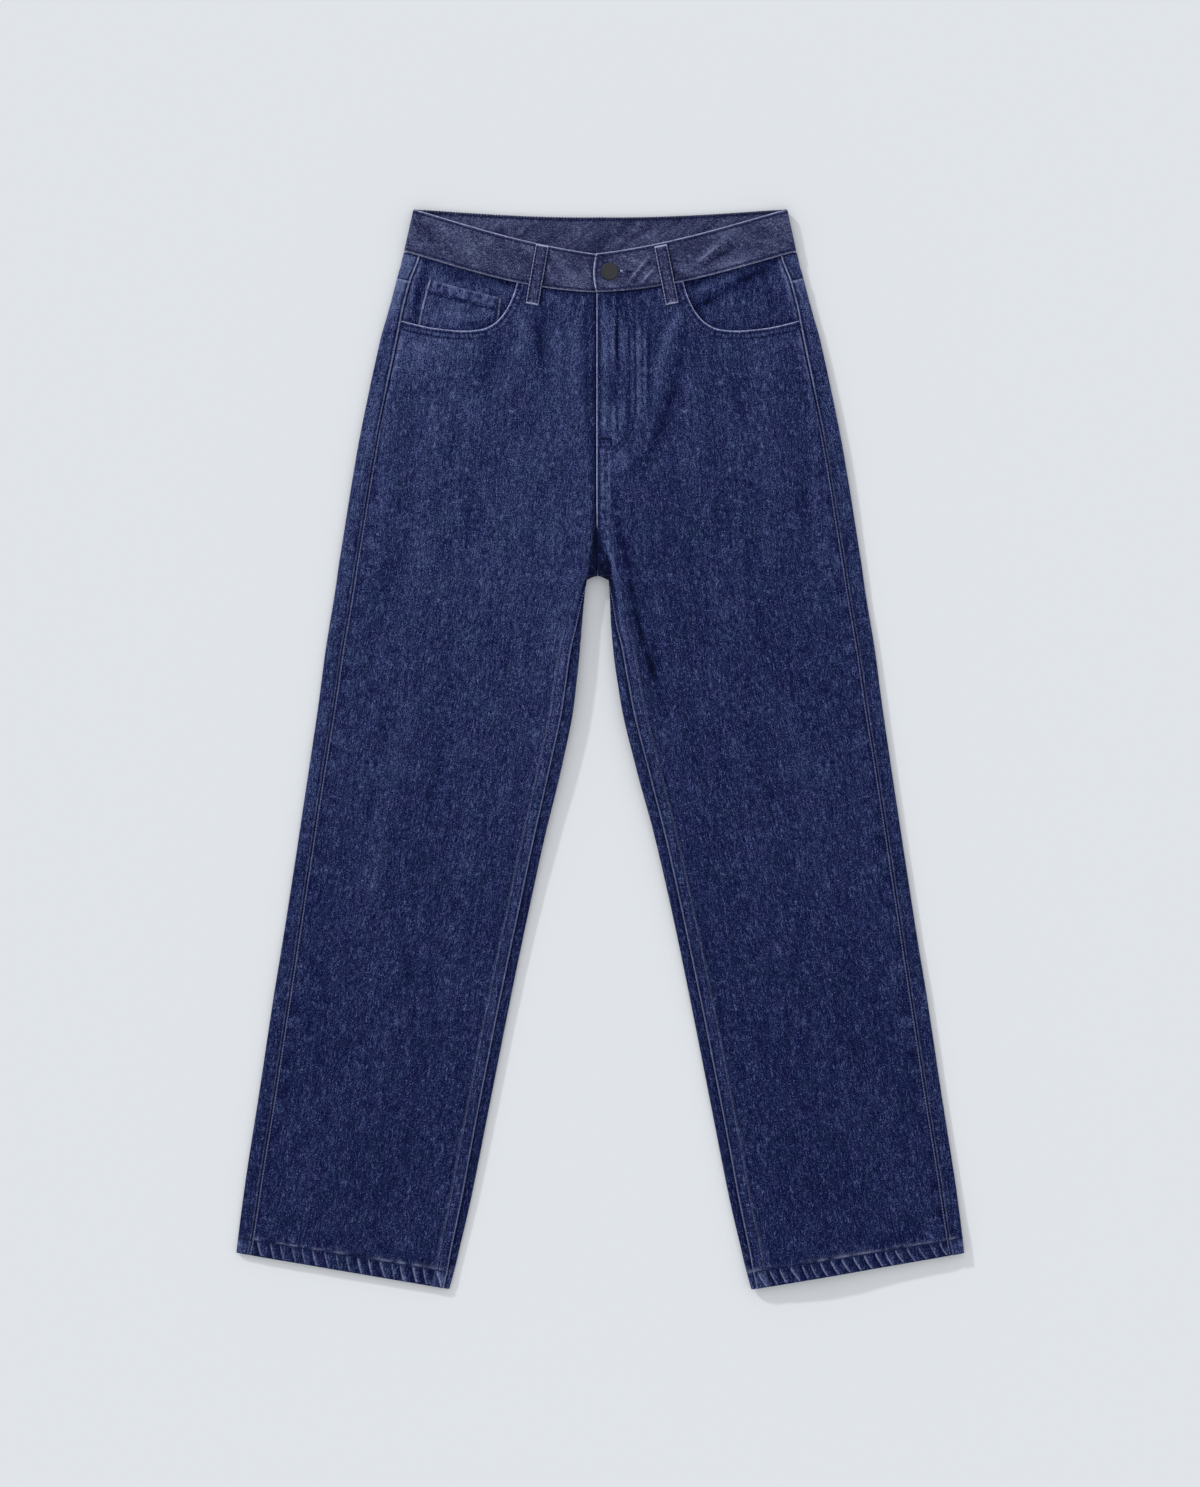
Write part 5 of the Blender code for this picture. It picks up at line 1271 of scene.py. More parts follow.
FLY_FOOT = (0.292, 0.305)  # y where the felled rise ends and the fly begins
FLY_EDGE_FOOT = (0.216, 0.221)
FLY_RIDGE, FLY_RIDGE_SHADE = 0.00020, 0.22
RISE_HEIGHT, RISE_WAVE, RISE_PALE, RISE_WAVE_SHADE, RISE_KNOTS = 0.0004, 0.00018, 0.18, 0.40, 0.50


def dress_fly(grid, torso, seed):
    """The fly's edge, its soft ridges, and the felled rise below it."""
    above = smooth_step(*FLY_FOOT, grid.y)
    rim(grid, grid.end, torso * smooth_step(*FLY_EDGE_FOOT, grid.y), place=0.0005)
    soft = layered(grid.end / 0.0045, grid.along / 0.030, seed + 40) * smooth_step(0.052, 0.044, grid.end)
    grid.height += FLY_RIDGE * soft * above * torso
    grid.tone *= 1 + FLY_RIDGE_SHADE * soft * above * torso
    below = torso * (1 - above) * (1 - smooth_step(RISE_STRIP - 0.001, RISE_STRIP + 0.001, grid.end))
    wave = ripples(grid.along, 0.0056, seed + 44)
    knots = noise(grid.end / 0.0022, grid.along / 0.0022, seed + 46)
    grid.height += below * (RISE_HEIGHT + RISE_WAVE * wave)
    grid.tone *= 1 + below * (RISE_PALE + RISE_WAVE_SHADE * wave + RISE_KNOTS * knots)


def opening_curve(steps):
    points = np.array(OPENING)
    at = np.linspace(0, len(points) - 1, steps)
    return smooth_column(points[:, 0])(at), smooth_column(points[:, 1])(at)


CUT_MARGIN = 0.0012


def outside_opening(grid):
    """Which cells of a front lie clear of the pocket opening; its hem strip covers the cut."""
    curve_x, curve_y = opening_curve(120)
    x = np.abs((grid.x[:-1, :-1] + grid.x[1:, 1:]) / 2)
    y = (grid.y[:-1, :-1] + grid.y[1:, 1:]) / 2
    return ~((x > curve_x[0] - CUT_MARGIN) & (y > np.interp(x, curve_x, curve_y) - CUT_MARGIN))


def wall_at(grid):
    """Thickness of the leg's cloth at each point, doubled in the hem."""
    hem = smooth_step(ROW["leg 13"], ROW["hem top"], grid.rows)
    return (CLOTH + (HEM_WALL - CLOTH) * hem) * np.ones_like(grid.start)


def cloth_piece(name, grid, keep=None):
    inside = grid.points - grid.normals * wall_at(grid)[..., None]
    grain = grain_of(grid.across, grid.along)
    return shell(name, grid.outside(), inside, DENIM, grain, grid.tone, grid.edge,
                 keep, INNER_STEP, grid.rope)


# ---- Backs and yokes

OUTER_FINE, INNER_FINE = 0.027, 0.024  # how far in from its two ends a back's mesh is fine
STRIP_REACH = 0.030
STRIP_GAIN = 0.16
HIP_STRIP = {-1: 0.75, 1: 0.30}  # how much paler the strips of the back are at the hip
HIP_STRIP_Y = (0.405, 0.440)
# Wear of the back's outer edge by y, then the shade beside it; the yoke's edge is worn evenly.
BACK_WEAR_Y, BACK_WEAR, YOKE_WEAR = (SINGLE_STITCH_Y, 0.345, 0.365), (0.12, 0.20, 0.62), 0.80
BACK_SHADE_Y, BACK_SHADE = (SINGLE_STITCH_Y, 0.365), (0.45, 0.85)
FELLED = (0.0095, 0.0115)  # where the felled yoke seam's strip ends
BACK_ROPE = 0.25
FAR = 1.0  # a distance at which no edge counts


def side_spacing(total):
    """Fine over the strip and fold that show, coarse underneath, fine again at the inner end."""
    first = spaced(OUTER_FINE, CELL, True, False)
    last = spaced(INNER_FINE, CELL, False, True)
    middle = np.linspace(first[-1], total - INNER_FINE, UNDER_COLUMNS + 1)[1:-1]
    return np.concatenate([first, middle, total - INNER_FINE + last])


def back_grid(side, first, last, gap_end):
    rows, along = rows_between(first + SEAM_STEP, last - (SEAM_STEP if gap_end else 0), CELL, True, True)
    return Grid(rows, along, [Section(row, side).back_path() for row in rows], side_spacing, side)


def dress_back(grid, side, yoke):
    seed = BACK_SEEDS[side] + (20 if yoke else 0)
    soften(grid, seed)
    strip = np.where(grid.start < STRIP_REACH, 1.0, 0.0)
    groove(grid, np.where(strip > 0, grid.start, FAR), depth=0.0006, shade=0.75)
    pucker(grid, grid.start, grid.along, pitch=0.0095, reach=0.008, depth=0.00010, seed=seed + 2)
    worn = YOKE_WEAR if yoke else np.interp(grid.y, BACK_WEAR_Y, BACK_WEAR)
    grid.tone += strip * HIP_STRIP[side] * smooth_step(*HIP_STRIP_Y, grid.y)
    shade = np.interp(grid.y, BACK_SHADE_Y, BACK_SHADE)
    rim(grid, grid.start, 1.12 * worn, place=0.0011, width=0.0005, shade=shade)
    grid.tone *= 1 + STRIP_GAIN * strip
    leg = smooth_step(ROW["leg 2"], ROW["leg 4"], grid.rows)
    groove(grid, np.where(leg > 0, grid.end, FAR), depth=0.0004)
    shade_line(grid, 0.30 * leg, 0, 0.0035, grid.end)
    # The felled yoke seam: the back lies over the yoke.
    if yoke:
        shade_line(grid, 0.45, 0, 0.0016, grid.below)
        shade_line(grid, 0.35, 0, 0.0016, grid.along)
        return
    felled = 1 - smooth_step(*FELLED, grid.along)
    wave = ripples(grid.start, 0.0050, seed + 6)
    grid.height += felled * (0.0004 + 0.00012 * wave) * grid.facing_up
    grid.tone *= 1 + felled * (0.22 + 0.2 * wave)
    wear_line(grid, 0.35, 0.0008, 0.0008, grid.along)
    rope_hem(grid, seed + 8, side)
    grid.rope[..., 1] *= BACK_ROPE
    grid.tone += CORNER_TONE * in_hem(grid)


# ---- Waistband

def band_path(row):
    x_out = float(FORM["x_out"](row))
    radius, z_middle = (BAND_TOP - BAND_LIFT) / 2, (BAND_TOP + BAND_LIFT) / 2

    def stretch(x, z, front):
        return x, section_y(row, x, front), z

    def half_fold(side, start, end, front):
        return stretch(*arc(side * x_out, -side * radius, radius, z_middle, start, end), front)

    right = np.linspace(TAB_X, radius - x_out, LONG_STEPS)
    under = np.linspace(radius - x_out, x_out - radius, LONG_STEPS)
    left = np.linspace(x_out - radius, LAP_X, LONG_STEPS)
    dip = smooth_step(LAP_X - TAB_CLEAR - TAB_DIP, LAP_X - TAB_CLEAR, right)
    return joined(
        stretch(right, BAND_TOP + (TAB_TOP - BAND_TOP) * dip, True),
        half_fold(-1, QUARTER, 0, True),
        half_fold(-1, 0, -QUARTER, False),
        stretch(under, np.full_like(under, BAND_LIFT), False),
        half_fold(1, -QUARTER, 0, False),
        half_fold(1, 0, QUARTER, True),
        stretch(left, np.full_like(left, BAND_TOP), True))


BAND_CELL, BAND_COLUMNS = 0.0013, 640
BAND_SEED = 300
SLIT_X, SLIT_Y = (0.0225, 0.0325), (0.4668, 0.4684)  # the buttonhole's slit
# The buttonhole's slit is painted shade: its half width, and how dark.
SLIT_HALF, SLIT_DARK = 0.0007, 0.95
BAND_GRAIN = 1.7  # how much shorter its marks are than the legs'
BAND_STITCH = 0.0034  # from the waistband's edges to its stitching
LAP_CURVE, LAP_CURVE_REACH = 0.0026, 0.012  # how far the lap's end curves out, and how far in that is felt
RIGHT_PALE = 0.20  # how much paler the waistband is on the wearer's right
# Wear of its lower edge by x, and the pitch of the worn dots in it.
BAND_WEAR_X, BAND_WEAR, BAND_DOTS = (LAP_X, 0.006, 0.060, 0.068), (0.70, 0.45, 0.30, 0.70), 0.0031
TOP_WEAR = 0.95
BAND_EDGE = 0.0007  # half width of the turn at its edges
LOCK_SHADE, LOCK_WAVE, INSIDE_SHADE = 0.75, 0.00045, 0.10


def band_grid():
    rows, along = rows_between(0, ROW["waist seam"] - WAIST_STEP, BAND_CELL, True, True)
    return Grid(rows, along, [band_path(row) for row in rows], evenly(BAND_CELL, BAND_COLUMNS), -1)


def loop_shade(x, y):
    """Painted shadow lines beside each front loop: strong away from the light, faint towards it."""
    shade = np.zeros(x.shape)
    for (x0, y0), (x1, y1) in FRONT_LOOPS.values():
        length = math.hypot(x1 - x0, y1 - y0)
        across = ((x - x0) * (y0 - y1) + (y - y0) * (x1 - x0)) / length
        down = ((x - x0) * (x1 - x0) + (y - y0) * (y1 - y0)) / length
        shaded = bump(LOOP_WIDTH / 2 + 0.0010, 0.0011, across)
        lit = bump(-LOOP_WIDTH / 2 - 0.0006, 0.0008, across)
        ends = smooth_step(-0.001, 0.002, down) * smooth_step(length + 0.001, length - 0.001, down)
        shade = np.maximum(shade, (shaded + 0.5 * lit) * ends)
    return shade


def dress_band(grid):
    across, along, seed = grid.start, grid.along, BAND_SEED
    middle = np.sin(math.pi * along / along[-1, 0])
    grid.points[..., 0] -= LAP_CURVE * middle * bump(0, LAP_CURVE_REACH, grid.end)
    top = grid.facing_up
    crease_tone, crease_height = crease_shade(grid.x, grid.y)
    height, shade = relief(across, along, BAND_RELIEF, seed)
    grid.height += height + crease_height * top
    grid.tone += crease_tone + shade
    grid.tone += RIGHT_PALE * smooth_step(0.0, -0.05, grid.x)
    # Painted shadows beside the front loops.
    grid.tone *= 1 - LOOP_PAINTED_SHADOW * loop_shade(grid.x, grid.y) * top
    slit = bump(0, SLIT_HALF, grid.y - np.interp(grid.x, SLIT_X, SLIT_Y))
    slit = slit * smooth_step(0, 0.001, grid.x - SLIT_X[0]) * smooth_step(0, 0.001, SLIT_X[1] - grid.x)
    grid.tone *= 1 - SLIT_DARK * slit * top
    dotted = 0.55 + 0.45 * np.sin(2 * math.pi * across / BAND_DOTS)
    bottom = np.interp(grid.x, BAND_WEAR_X, BAND_WEAR) * (0.6 + 0.4 * dotted)
    for distance, worn in ((along, TOP_WEAR * (0.25 + 0.75 * top)), (grid.below, bottom)):
        grid.height -= 0.0007 * bump(0, BAND_EDGE, distance)
        pucker(grid, distance, across, pitch=0.0062, reach=0.004, depth=0.00009, seed=seed + 12, shade=0.30)
        grid.height -= 0.00022 * bump(BAND_STITCH, 0.0008, distance)
        rim(grid, distance, worn, place=0.0005, shade=0.50)
    grid.height -= 0.0006 * bump(0, BAND_EDGE, grid.end)
    rim(grid, grid.end, 1.0, place=0.0006, width=0.00075)
    # Painted shadow of the lap's end on the waistband beneath it.
    shade_line(grid, 0.50, TAB_X - LAP_X + LAP_CURVE, 0.0028, grid.start)
    # The overlocked inner edge of the back.
    under = 1 - top
    shade_line(grid, LOCK_SHADE * under * (0.6 + 0.4 * np.sin(across / LOCK_WAVE)), 0.0012, 0.0022, along)
    grid.tone *= 1 - INSIDE_SHADE * under


# ---- Pockets

def facing_points(side, rows, shares):
    """Points on top of a pocket facing, at row numbers and at shares of the way in from the outseam."""
    points = []
    for row in rows:
        outer = side * (float(FORM["x_out"](row)) - float(FORM["out_seam"](row)) - HALF_SEAM)
        x = outer + (side * FACING_INNER_X - outer) * shares
        y = section_y(row, x, True)
        z = top_height(np.full_like(x, row), x, y) - facing_depth(x, y)
        lowest = float(FORM["lift"](row)) + 2 * CLOTH + SEAM_GAP
        points.append(np.array([x, y, np.maximum(z, lowest)]).T)
    return np.array(points)


def facing_depth(x, y):
    curve_x, curve_y = opening_curve(OPENING_STEPS)
    inside = (np.abs(x) > curve_x[0]) & (y > np.interp(np.abs(x), curve_x, curve_y))
    rise = smooth_step(FACING_LEVEL, FACING_LEVEL + FACING_RISE, opening_distance(x, y)) * inside
    return FACING_DEEP + (FACING_SHALLOW - FACING_DEEP) * rise


OPENING_SHADE, OPENING_SHADE_WIDTH = 0.50, 0.0045


def opening_distance(x, y, steps=OPENING_STEPS):
    """Distance from the edge of a pocket opening."""
    curve_x, curve_y = opening_curve(steps)
    return np.sqrt(((np.abs(x)[..., None] - curve_x) ** 2 + (y[..., None] - curve_y) ** 2).min(axis=-1))


def opening_shade(x, y):
    """The shade under a pocket mouth's hem."""
    return OPENING_SHADE * bump(0, OPENING_SHADE_WIDTH, opening_distance(x, y, 90))


FACING_TONE = {-1: 1.40, 1: 1.06}
FACING_SEEDS = {-1: 400, 1: 420}
FACING_ROWS, FACING_COLUMNS = 58, 94
TACK_X = 0.1925  # the facing is a little darker round the bar tack
# Painted shadow of the waistband along the facing's top: how dark, and how wide.
FACING_TOP_SHADE, FACING_TOP_WIDTH = 0.60, 0.0045


def facing(name, side):
    rows = np.linspace(FACING_FIRST + WAIST_STEP, FACING_LAST, FACING_ROWS)
    points = facing_points(side, rows, np.linspace(0, 1, FACING_COLUMNS))
    x, y = points[..., 0], points[..., 1]
    crease_tone, crease_height = crease_shade(x, y)
    height, shade = relief(x, y, FACING_RELIEF, FACING_SEEDS[side])
    tone = (FACING_TONE[side] + shade) * (1 - opening_shade(x, y))
    tone = tone * (1 - 0.10 * bump(TACK_X, 0.012, np.abs(x))) + crease_tone
    # Painted shadow under the waistband, then a worn ridge and painted shade at the outseam.
    band_edge = section_y(np.full_like(x, ROW["waist seam"]), x, True)
    tone = tone * (1 - FACING_TOP_SHADE * bump(0, FACING_TOP_WIDTH, band_edge - y))
    from_seam = np.abs(x - x[:, :1])
    tone = (tone + 0.9 * seam_glow(from_seam, y)) * (1 - bump(0, 0.0008, from_seam))
    outer, inner = lifted(points, height + crease_height), points - np.array([0, 0, CLOTH])
    made = shell(name, outer, inner, DENIM, grain_of(np.abs(x), -y), tone)
    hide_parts(f"pocket_facing_{'right' if side < 0 else 'left'}")


# Across the strip: distance from the opening's edge, and height over the front.
OPENING_PROFILE = (
    (0.0008, -0.0018), (0.0002, -0.0015), (0.0, -0.0010), (0.0, -0.0005), (0.0002, -0.0001),
    (0.0006, 0.0002), (0.0012, 0.0004), (0.0020, 0.0004), (0.0030, 0.0003), (0.0040, 0.0004),
    (0.0050, 0.0005), (0.0060, 0.0005), (0.0070, 0.0004), (0.0080, 0.0003), (0.0088, 0.0003),
    (0.0094, 0.0001), (0.0098, -0.0003), (0.0102, -0.0009))
OPENING_STITCHES = (0.0030, 0.0080)
OPENING_HALF_STITCH = 0.0008
OPENING_END = (0.0085, 0.0095)  # where the relief of the strip ends
OPENING_LINE = (0.0090, 0.0098)  # where its dark inner edge begins
OPENING_SEED, OPENING_SPOT_SEED, OPENING_EDGE_SEED = 440, 446, 92
OPENING_WALL = 0.0007
OPENING_TONE, OPENING_SPOTS = 1.15, 0.50
OPENING_WAVE, OPENING_PITCH = 0.00014, 0.0036


def opening_strip(name, side, grid):
    """The turned hem along a pocket opening, with its worn edge, cut off at the outseam."""
    curve_x, curve_y = opening_curve(150)
    tangent = np.stack([np.gradient(curve_x), np.gradient(curve_y)], axis=1)
    tangent /= np.linalg.norm(tangent, axis=1)[:, None]
    across, rise = np.array(OPENING_PROFILE).T
    x = curve_x[:, None] + tangent[:, 1][:, None] * across
    y = curve_y[:, None] - tangent[:, 0][:, None] * across
    row = row_at(x.ravel(), y.ravel(), True)
    seam = (FORM["x_out"](row) - FORM["out_seam"](row) - HALF_SEAM).reshape(x.shape)
    share = np.arange(len(x), dtype=float)
    for column in range(len(across)):
        last = np.interp(0, (x - seam)[:, column], share)
        wanted = np.linspace(0, last, len(x))
        x[:, column] = np.interp(wanted, share, x[:, column])
        y[:, column] = np.interp(wanted, share, y[:, column])
    length = travelled(np.array([x[:, 0], y[:, 0]]).T)[:, None]
    surface, normals = surface_of(grid, side * x, y)
    shown = smooth_step(0.0015, 0.003, across) * (1 - smooth_step(*OPENING_END, across))
    wave = ripples(length, OPENING_PITCH, OPENING_SEED + side) * shown
    outer = lifted(surface, rise + OPENING_WAVE * wave)
    inner = outer - np.array([0, 0, OPENING_WALL])
    spots = noise(length / 0.0018, across / 0.0014, OPENING_SPOT_SEED) + wave
    tone = wash_and_painted_light(surface[..., 0], surface[..., 1]) * (OPENING_TONE + OPENING_SPOTS * spots)
    for place in OPENING_STITCHES:
        tone = tone * (1 - 0.60 * bump(place, OPENING_HALF_STITCH, across))
    tone = tone * (1 - 0.6 * smooth_step(*OPENING_LINE, across))
    tone = tone + 0.5 * bump(0.0086, 0.0006, across)
    edge = uneven(length / RIM_PATCH, 0.5, OPENING_EDGE_SEED) * bump(0.0003, 0.0006, across)
    shell(name, outer, inner, DENIM, grain_of(length + 0 * x, across + 0 * x), tone, edge)
    columns = [np.argmin(np.abs(across - place)) for place in OPENING_STITCHES]
    return [(outer[:, column], normals[:, column]) for column in columns]


def surface_of(grid, x, y):
    """Points and normals on a front's outside at places given by x and y."""
    row = row_at(x.ravel(), y.ravel(), True)
    index = np.interp(row, grid.rows[:, 0], np.arange(len(grid.rows)))
    seam = FORM["x_out"](row) - FORM["out_seam"](row) - HALF_SEAM
    points, normals = grid.at(index, np.maximum(seam - np.abs(x.ravel()), 0))
    points[:, 0], points[:, 1] = x.ravel(), y.ravel()
    return points.reshape(*x.shape, 3), normals.reshape(*x.shape, 3)


COIN_ROWS, COIN_COLUMNS, COIN_MIDDLE = 46, 66, 25
COIN_SEED, COIN_PITCH = 460, 0.0100
COIN_TONE, COIN_WAVE, COIN_WAVE_SHADE = 1.62, 0.00026, 0.30
COIN_HEM, COIN_HEM_HEIGHT, COIN_HEM_PALE = (0.0115, 0.0125), 0.00030, 0.20
COIN_STITCH = 0.0108  # from its top edge to its hem's stitching
COIN_WEAR = (0.34, 0.95, 0.40)  # of its top, its outer side and its inner side


def coin_pocket():
    rows = np.linspace(COIN_FIRST, COIN_LAST, COIN_ROWS)
    points = facing_points(-1, rows, np.linspace(COIN_OUTER, COIN_INNER, COIN_COLUMNS))
    down_share = ((rows - COIN_FIRST) / (COIN_LAST - COIN_FIRST))[:, None]
    points[..., 0] -= COIN_SKEW[0] + (COIN_SKEW[1] - COIN_SKEW[0]) * down_share
    points[..., 2] += SEAM_GAP + CLOTH
    x, y = points[..., 0], points[..., 1]
    down = travelled(points[:, COIN_MIDDLE])[:, None] + 0 * x
    over, back = np.abs(x - x[:, :1]), np.abs(x - x[:, -1:])
    hem = 1 - smooth_step(*COIN_HEM, down)
    wave = ripples(over, COIN_PITCH, COIN_SEED) * hem
    crease_tone, crease_height = crease_shade(x, y)
    height, shade = relief(x, y, COIN_RELIEF, COIN_SEED + 4)
    height = height + COIN_HEM_HEIGHT * hem + COIN_WAVE * wave + crease_height
    fine = noise(over / 0.0022, down / 0.0022, COIN_SEED + 8)
    fine = fine + 0.7 * noise(over / 0.0045, down / 0.0040, COIN_SEED + 10)
    tone = 1 + COIN_WAVE_SHADE * wave + shade + (0.10 + 0.22 * hem) * fine
    tone = (COIN_TONE + COIN_HEM_PALE * hem) * tone + crease_tone
    edge = np.zeros_like(x)
    patchy = 0.75 + 0.45 * noise(x / 0.0035, y / 0.0035, COIN_SEED + 12)
    for distance, strength in zip((down, over, back), COIN_WEAR):
        height -= 0.0005 * bump(0, 0.0007, distance)
        edge = np.maximum(edge, strength * patchy * bump(0.0006, 0.0007, distance))
    tone *= 1 - 0.85 * bump(0.0128, 0.0011, down) * (0.8 + 0.3 * noise(over / 0.004, 0.5, COIN_SEED + 14))
    tone *= 1 - 0.45 * bump(0.0030, 0.0010, back)
    tone *= 1 - opening_shade(x, y)
    outer, inner = lifted(points, height), points - np.array([0, 0, CLOTH])
    made = shell("coin_pocket_cloth", outer, inner, DENIM, grain_of(over, down), tone, edge)
    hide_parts("coin_pocket")
    row = np.argmin(np.abs(down[:, 0] - COIN_STITCH))
    up = np.zeros_like(outer)
    up[..., 2] = 1
    return [(outer[row], up[row]), (outer[:, 2], up[:, 2]), (outer[:, -3], up[:, -3])]


PATCH_CELLS, PATCH_SEED, PATCH_WEAR = 40, 480, 0.4


def back_pocket(name, side):
    """A plain patch on the underside."""
    _, (top, _), (low, low_y), (_, tip_y), _ = BACK_POCKET
    down, across = np.linspace(0, 1, PATCH_CELLS)[:, None], np.linspace(-1, 1, PATCH_CELLS)
    x, y = across * (top + (low - top) * down), down * (tip_y + (low_y - tip_y) * np.abs(across))
    turn = side * BACK_POCKET_TURN
    points = np.stack([side * BACK_POCKET_CENTRE[0] + x * math.cos(turn) - y * math.sin(turn),
                       BACK_POCKET_CENTRE[1] + x * math.sin(turn) + y * math.cos(turn), 0 * x], axis=-1)
    x, y = points[..., 0], points[..., 1]
    _, shade = relief(x, y, PATCH_RELIEF, PATCH_SEED)
    worn = np.full(x.shape, PATCH_WEAR)
    worn[2:-2, 2:-2] = 0
    tone = wash_and_painted_light(x, y) * (1 + shade)
    made = shell(name, points, points + np.array([0, 0, CLOTH]), DENIM, grain_of(x, y), tone, worn)
    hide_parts(f"back_pocket_{'right' if side < 0 else 'left'}")


# ---- Belt loops

# Across a belt loop: place as a share of its half width, and height under its top.
LOOP_PROFILE = (
    (-1.0, -0.0010), (-1.0, -0.0005), (-0.95, -0.0001), (-0.86, 0.0), (-0.76, 0.0), (-0.68, -0.0001),
    (-0.60, 0.0), (-0.4, 0.0001), (-0.2, 0.0001), (0.0, 0.0001), (0.2, 0.0001), (0.4, 0.0001), (0.60, 0.0),
    (0.68, -0.0001), (0.76, 0.0), (0.86, 0.0), (0.95, -0.0001), (1.0, -0.0005), (1.0, -0.0010))
LOOP_STITCHES = (-0.68, 0.68)
LOOP_STEPS = 90
LOOP_HEIGHT = 0.0011  # of a loop that lies flat under the back
LOOP_SAG, LOOP_SAG_REACH = 0.0005, 0.012
LOOP_INNER, LOOP_RIM_INNER = 0.0009, 0.0003  # from its outside to its inside, and the same at its two edges
LOOP_PITCH, LOOP_WAVE, LOOP_SEED, LOOP_SPOT_SEED = 0.0060, 0.00006, 500, 520
LOOP_DOTS = 0.0034
LOOP_SIDE_WEAR, LOOP_END_WEAR = 0.80, 1.0
LOOP_TONE, LOOP_WAVE_SHADE, LOOP_MOTTLE, LOOP_STITCH_SHADE = 1.05, 0.25, 0.20, 0.80


def belt_loop(name, ends, front_surface=None):
    """A folded strip, sewn down at both ends; one under the back lies flat."""
    start, end = np.array(ends)
    length = math.hypot(*(end - start))
    forward = (end - start) / length
    sideways = np.array([-forward[1], forward[0]])
    share = np.linspace(0, 1, LOOP_STEPS)
    across, rise = np.array(LOOP_PROFILE).T
    middle = start + share[:, None] * length * forward
    if front_surface is None:
        lift, up = np.full_like(share, LOOP_HEIGHT), -1
    else:
        carried = BAND_TOP + (front_surface(middle) - BAND_TOP) * smooth_step(*LOOP_STEP_DOWN, share)
        arch = LOOP_RISE * np.sin(math.pi * np.clip(share / LOOP_STEP_DOWN[1], 0, 1))
        lift, up = carried + SEAM_GAP + arch + LOOP_WALL, 1
    x, y = (middle[:, i][:, None] + across * LOOP_WIDTH / 2 * sideways[i] for i in range(2))
    sag = LOOP_SAG * (np.exp(-share / LOOP_SAG_REACH) + np.exp(-(1 - share) / LOOP_SAG_REACH))
    wave = ripples(share * length, LOOP_PITCH, LOOP_SEED + len(name))[:, None] * (np.abs(across) < 0.9)
    z = lift[:, None] + rise - sag[:, None] + LOOP_WAVE * wave
    outer = np.stack([x, y, z if up > 0 else LOOP_HEIGHT - z], axis=-1)
    inner = outer - (0, 0, up * LOOP_INNER)
    for edge_column in (0, -1):
        inner[:, edge_column] = outer[:, edge_column] - (0, 0, up * LOOP_RIM_INNER)
    if up < 0:
        inner[..., 2] = LOOP_HEIGHT
    along = share[:, None] * length + 0 * x
    dotted = 0.70 + 0.40 * np.sin(2 * math.pi * along / LOOP_DOTS)
    edge = np.maximum(LOOP_SIDE_WEAR * bump(0.96, 0.07, np.abs(across)) * dotted,
                      LOOP_END_WEAR * bump(0.012, 0.014, np.minimum(share, 1 - share))[:, None])
    mottle = noise(along / 0.006, across * 1.5, LOOP_SPOT_SEED + len(name))
    stitch_rows = np.minimum(bump(0.76, 0.13, np.abs(across)) * (1.3 - 0.5 * dotted), 1)
    tone = LOOP_TONE + LOOP_WAVE_SHADE * wave + LOOP_MOTTLE * mottle
    tone = tone * (1 - LOOP_STITCH_SHADE * stitch_rows)
    grain = grain_of(across * LOOP_WIDTH / 2, along)
    made = shell(f"{name}_cloth", outer, inner, BAND_DENIM, grain, tone, edge)
    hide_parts(name)
    normals = np.zeros_like(outer)
    normals[..., 2] = up
    columns = [np.argmin(np.abs(across - place)) for place in LOOP_STITCHES]
    return [(outer[2:-2, column], normals[2:-2, column]) for column in columns]


# ---- Sewing

STITCH_RINGS = ((-0.5, 0.55), (-0.2, 1.0), (0.2, 1.0), (0.5, 0.55))
STITCH_TURNS = 4
STITCH_FLATNESS = 0.6


def sew(name, lines, look, pitch=0.0027, length=0.0019, width=0.00125, lift=0.00010):
    """Stitches along lines of points and normals, as one joined mesh."""
    centres, tangents, ups = [], [], []
    for points, normals in lines:
        along = travelled(points)
        at = np.arange(pitch / 2, along[-1], pitch)
        if not len(at):
            continue
        tangent = sampled(at + length / 2, along, points) - sampled(at - length / 2, along, points)
        tangents.append(tangent / np.maximum(np.linalg.norm(tangent, axis=1), 1e-9)[:, None])
        centres.append(sampled(at, along, points))
        ups.append(sampled(at, along, normals))
    centre, tangent, up = np.concatenate(centres), np.concatenate(tangents), np.concatenate(ups)
    sideways = np.cross(up, tangent)
    sideways /= np.linalg.norm(sideways, axis=1)[:, None]
    ring_points = []
    for place, size in STITCH_RINGS:
        for k in range(STITCH_TURNS):
            angle = 2 * math.pi * (k + 0.5) / STITCH_TURNS
            ring_points.append(centre + tangent * place * length
                               + sideways * (math.cos(angle) * width / 2 * size)
                               + up * (math.sin(angle) * width / 2 * size * STITCH_FLATNESS + size * lift))
    vertices = np.stack(ring_points, axis=1)
    per = vertices.shape[1]
    faces = [list(range(STITCH_TURNS))]
    for ring in range(len(STITCH_RINGS) - 1):
        for k in range(STITCH_TURNS):
            a, b = ring * STITCH_TURNS + k, ring * STITCH_TURNS + (k + 1) % STITCH_TURNS
            faces.append([b, a, a + STITCH_TURNS, b + STITCH_TURNS])
    faces.append([per - 1 - k for k in range(STITCH_TURNS)])
    faces = (np.array(faces)[None] + np.arange(len(vertices))[:, None, None] * per).reshape(-1, 4)
    mesh_piece(name, vertices.reshape(-1, 3), [faces], look)


TACK_STEP = 0.0008
TACK_HALF, SLIT_TACK_HALF, KNOT_HALF = 0.0013, 0.0006, 0.0009


